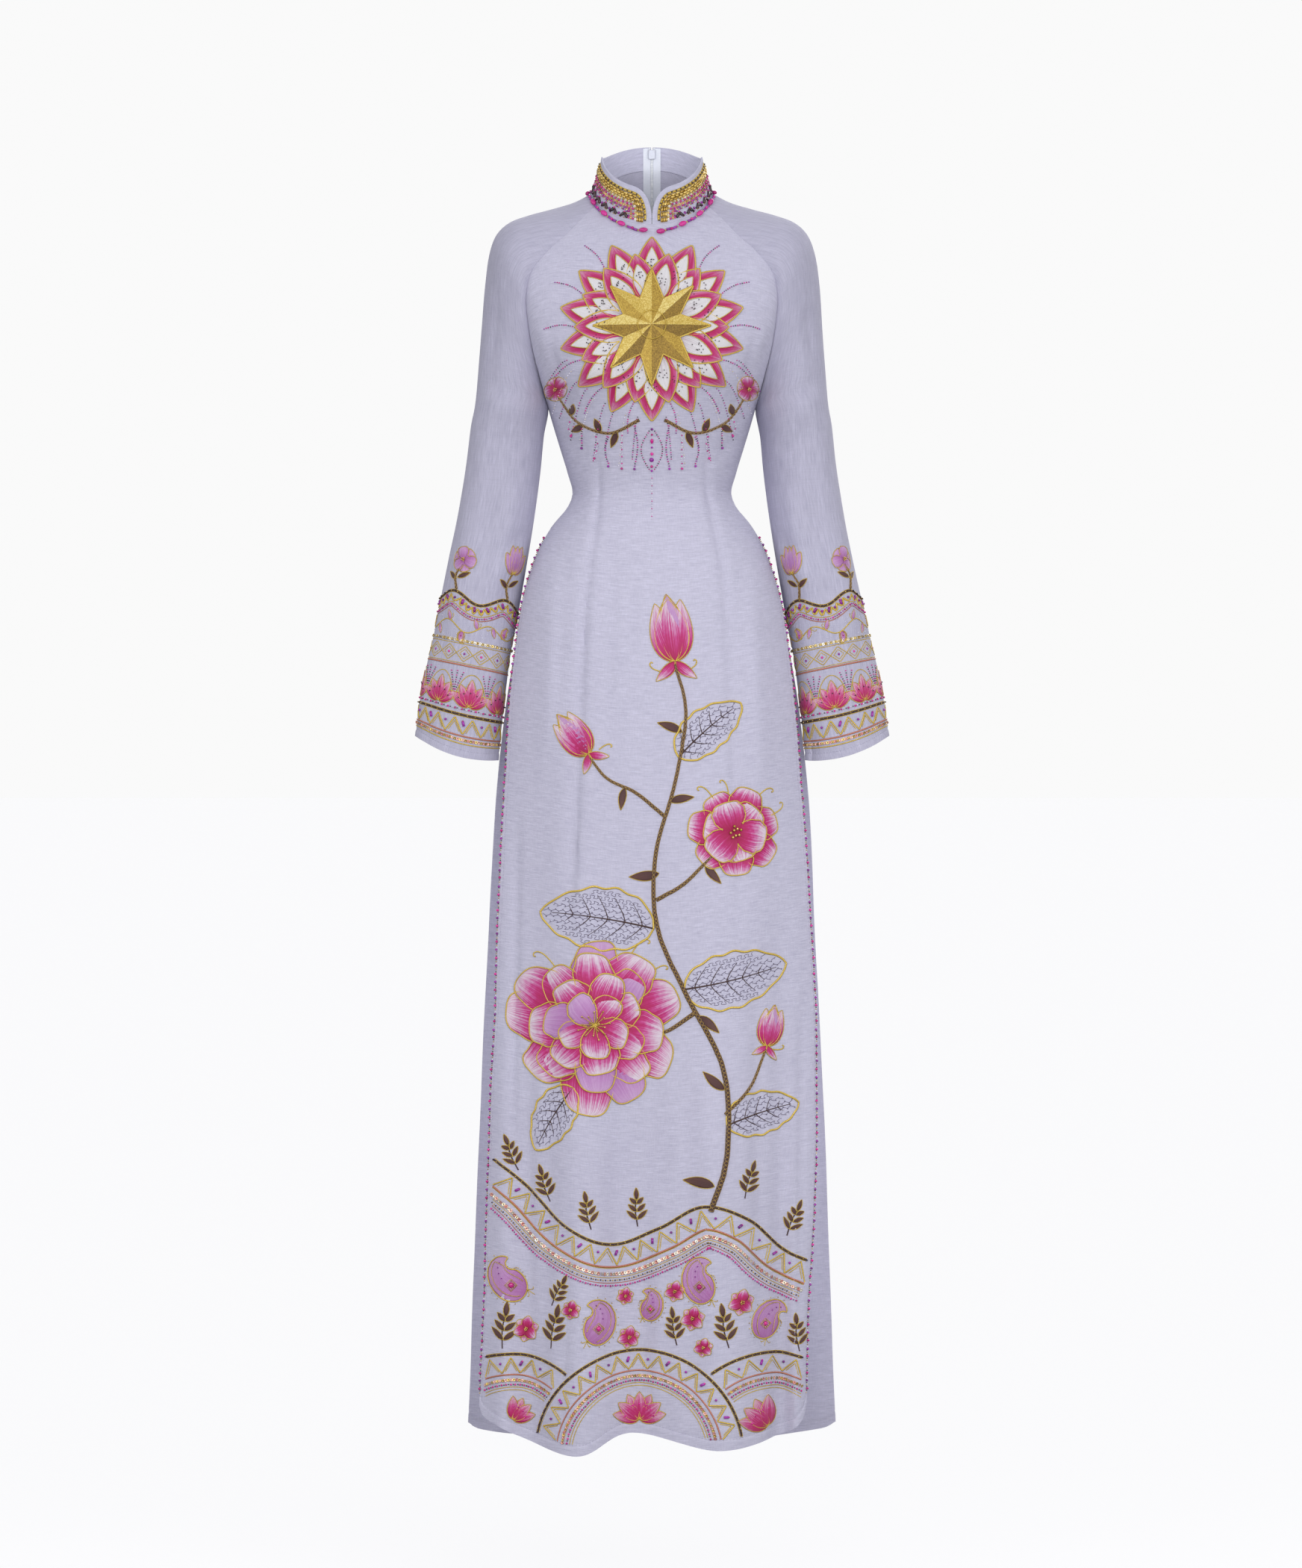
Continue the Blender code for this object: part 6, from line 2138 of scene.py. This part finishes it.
def makeZip():
    tape = tapeFinish()
    made = {}
    for word, side in sideSigns.items():
        # the tapes' tops are cut level under the collar's edge and bend in a little
        xs = np.linspace(zipWork["from"], zipWork["to"], 6)
        lines = [evenly(backLine(word, x), 2.5) for x in xs]
        rows = min(len(line) for line in lines)
        grid = np.stack([line[:rows] for line in lines], 1)
        curl = smoothStep((grid[..., 2] - grid[0, 0, 2] + 5) / 5)
        share = (np.abs(grid[..., 0]) - zipWork["from"]) / (zipWork["to"] - zipWork["from"])
        grid[..., 1] -= curl * (0.5 + 0.5 * share) + 0.10 * np.sin(share * pi * 6)
        grid[..., 2] -= curl * 1.1
        name = "zip_tape_cloth_" + word
        made["zip_tape_" + word] = gridMesh(name, grid, clothUv(grid, 10), (0, 1, 0), tape)
        wall(made["zip_tape_" + word], zipWork["tape"])
    work = Needlework("zip_teeth", "zip_tape")
    ground = BackGround("left")
    nylon = beadFinish("zip_nylon", (0.72, 0.75, 0.80), (0.90, 0.92, 0.95), rough=0.3)
    # closed below the slider, and parted above it
    slider = bpy.data.objects["zip_slider"]
    closed = min(corner[2] for corner in slider.bound_box) / mm + 2
    heights = np.arange(closed, zipWork["end"], -zipWork["pitch"])
    points, normals = ground.at(np.stack([heights * 0, heights], -1), 0.1)
    runs = np.broadcast_to([1.0, 0.0, 0.12], points.shape)
    layBeads(work, points, normals, runs, zipWork["coil"], "tube", nylon, sink=0.0)
    top = ground.lines[0][0, 2]
    for side in (-1, 1):
        heights = np.arange(top - 1, closed, -zipWork["pitch"])
        reach = np.interp(heights, (closed, closed + 8), (0.6, 2.4))
        points, normals = ground.at(np.stack([side * reach, heights], -1), 0.1)
        runs = np.broadcast_to([1.0, 0.0, 0.0], points.shape)
        layBeads(work, points, normals, runs, zipWork["coil"] * 0.6, "tube", nylon, sink=0.0)
    # two threads hold the coil to the tapes
    for x in (-1.9, 1.9):
        heights = np.arange(closed - 2, zipWork["end"], -3.0)
        layCord(work, ground, np.stack([heights * 0 + x, heights], -1), 0.5, nylon, 0.0, sides=3)
    made["zip_coil"] = work.make()
    enamel = enamelFinish("zip_enamel", (0.50, 0.52, 0.60), 0.25)
    for name in ("zip_slider", "zip_pull"):
        part = bpy.data.objects[name]
        part.data.materials.clear()
        part.data.materials.append(enamel)
    return made


class RowGround:
    # takes a column number and a distance up from the lower edge, both fractional
    def __init__(self, grid, normals):
        self.grid, self.normals, self.up = grid, normals, distanceUp(grid)

    def at(self, places, lift=0.0):
        places = np.atleast_2d(np.asarray(places, float))
        points, outward = [], []
        for column, height in places:
            j = min(int(column), self.grid.shape[1] - 2)
            share = column - j
            sides = []
            for k in (j, j + 1):
                row = np.interp(-height, -self.up[:, k], np.arange(len(self.up)))
                i = min(int(row), len(self.up) - 2)
                sides.append((mix(self.grid[i, k], self.grid[i + 1, k], row - i),
                              mix(self.normals[i, k], self.normals[i + 1, k], row - i)))
            points.append(mix(sides[0][0], sides[1][0], share))
            outward.append(mix(sides[0][1], sides[1][1], share))
        outward = np.array(outward)
        outward /= np.linalg.norm(outward, axis=1, keepdims=True)
        return np.array(points) + outward * lift, outward


hemStitch = {"pitch": 4.0, "thread": 0.55, "sunk": -0.1, "slitIn": 7.0, "slitFrom": 12.0,
             "places": 400}


def stitchHem(work, grid, outward, height, finish):
    # stitches all along a turned edge
    normals = gridNormals(grid, outward)
    ground = RowGround(grid, normals)
    columns = np.linspace(0.4, grid.shape[1] - 1.4, hemStitch["places"])
    points, _ = ground.at(np.stack([columns, np.full(hemStitch["places"], height)], -1))
    far = running(gaps(points))
    pitch = hemStitch["pitch"]
    for start in np.arange(1.0, far[-1] - pitch, pitch):
        ends = np.interp((start, start + pitch * 0.3, start + pitch * 0.62), far, columns)
        layCord(work, ground, np.stack([ends, np.full(3, height)], -1), hemStitch["thread"], finish,
                hemStitch["sunk"], sides=3)


def stitchSlit(work, grid, outward, column, finish):
    # stitches down a slit's turned edge, from the hip to the hem
    normals = gridNormals(grid, outward)
    if column:
        grid, normals = np.flip(grid, 1), np.flip(normals, 1)
    far = running(gaps(grid, 1), 1)
    line, away = [], []
    heights = grid[:, 0, 2]
    turned = (heights < slitTop - hemStitch["slitFrom"]) & (heights > heights[-1] + 9)
    for i in np.flatnonzero(turned):
        j = np.interp(hemStitch["slitIn"], far[i], np.arange(grid.shape[1]))
        line.append(mix(grid[i, int(j)], grid[i, int(j) + 1], j - int(j)))
        away.append(normals[i, int(j)])
    line, away = np.array(line), np.array(away)
    run = running(gaps(line))

    class Edge:
        def at(self, places, lift=0.0):
            places = np.atleast_2d(places)
            found = [np.stack([np.interp(places[:, 0], run, field[:, k]) for k in range(3)], -1)
                     for field in (line, away)]
            return found[0] + found[1] * lift, found[1]

    ground = Edge()
    pitch = hemStitch["pitch"]
    for start in np.arange(2.0, run[-1] - pitch, pitch):
        ends = start + pitch * np.array([0.0, 0.3, 0.62])
        layCord(work, ground, np.stack([ends, ends * 0], -1), hemStitch["thread"], finish, hemStitch["sunk"],
                sides=3)


def makeStitches():
    thread = clothFinish("hem_thread", (0.36, 0.35, 0.46), (900.0, 900.0))
    work = Needlework("front_stitches", "thread")
    stitchHem(work, frontGrid, (0, -1, 0), frontPiece["hem"], thread)
    for column in (0, 1):
        stitchSlit(work, frontGrid, (0, -1, 0), column, thread)
    work.make()
    for word, side in sideSigns.items():
        work = Needlework("back_stitches_" + word, "thread")
        stitchHem(work, backs[word][1], (0, 1, 0), backPiece["hem"], thread)
        stitchSlit(work, backs[word][1], (0, 1, 0), 1, thread)
        work.make()
        work = Needlework("cuff_stitches_" + word, "thread")
        stitchHem(work, sleeves[word][1], (side, 0, 0), sleevePiece["hem"], thread)
        work.make()


makeCamera()
makeStudio()
frontFinish = clothFinish("front_weave", **weave["front"])
sleeveFinish = clothFinish("sleeve_weave", **weave["sleeve"])
collarFinish = clothFinish("collar_weave", **weave["collar"])
frontCloth, frontGrid = makeFront(frontFinish)
print("front ready")
backs, sleeves, collars = {}, {}, {}
for word, side in sideSigns.items():
    backs[word] = makeBack("back_cloth_" + word, side, frontFinish)
    sleeves[word] = makeSleeve("sleeve_cloth_" + word, side, sleeveFinish)
    collars[word] = makeCollar("collar_cloth_" + word, side, collarFinish)
print("back, sleeves and collar ready")

threads = makeFinishes()
ground = onFront(frontGround(frontGrid))
decorateChest(ground, threads)
decorateFront(ground, threads)
decorateHem(ground, frontGrid, threads)
bodyTree = treeOf([frontGrid] + [grid for _, grid in (*backs.values(), *sleeves.values())])
for word, side in sideSigns.items():
    decorateCollar("collar_" + word, collars[word][1], side, threads)
    decorateCuff("cuff_" + word, sleeves[word][1], threads, side)
    makeRope("neck_beads_" + word, side, bodyTree, threads)
    makeEdgeString("edge_beads_" + word, frontGrid, -1 if side > 0 else 0, threads)
print("embroidery ready")
makeStitches()
zipParts = makeZip()
print("zip and stitches ready")

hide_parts("front")
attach(frontCloth, "root")
for node, piece in zipParts.items():
    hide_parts(node)
    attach(piece, "root")
for word in sideSigns:
    for group, node, slot in ((backs, "back_", "cloth"), (sleeves, "sleeve_", "sleeve_cloth"),
                              (collars, "collar_", "collar_cloth")):
        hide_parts(node + word)
        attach(group[word][0], "root")

for word in sideSigns:
    "sleeve_cloth_" + word
    "collar_cloth_" + word
    "back_cloth_" + word
    "back_cloth_" + word
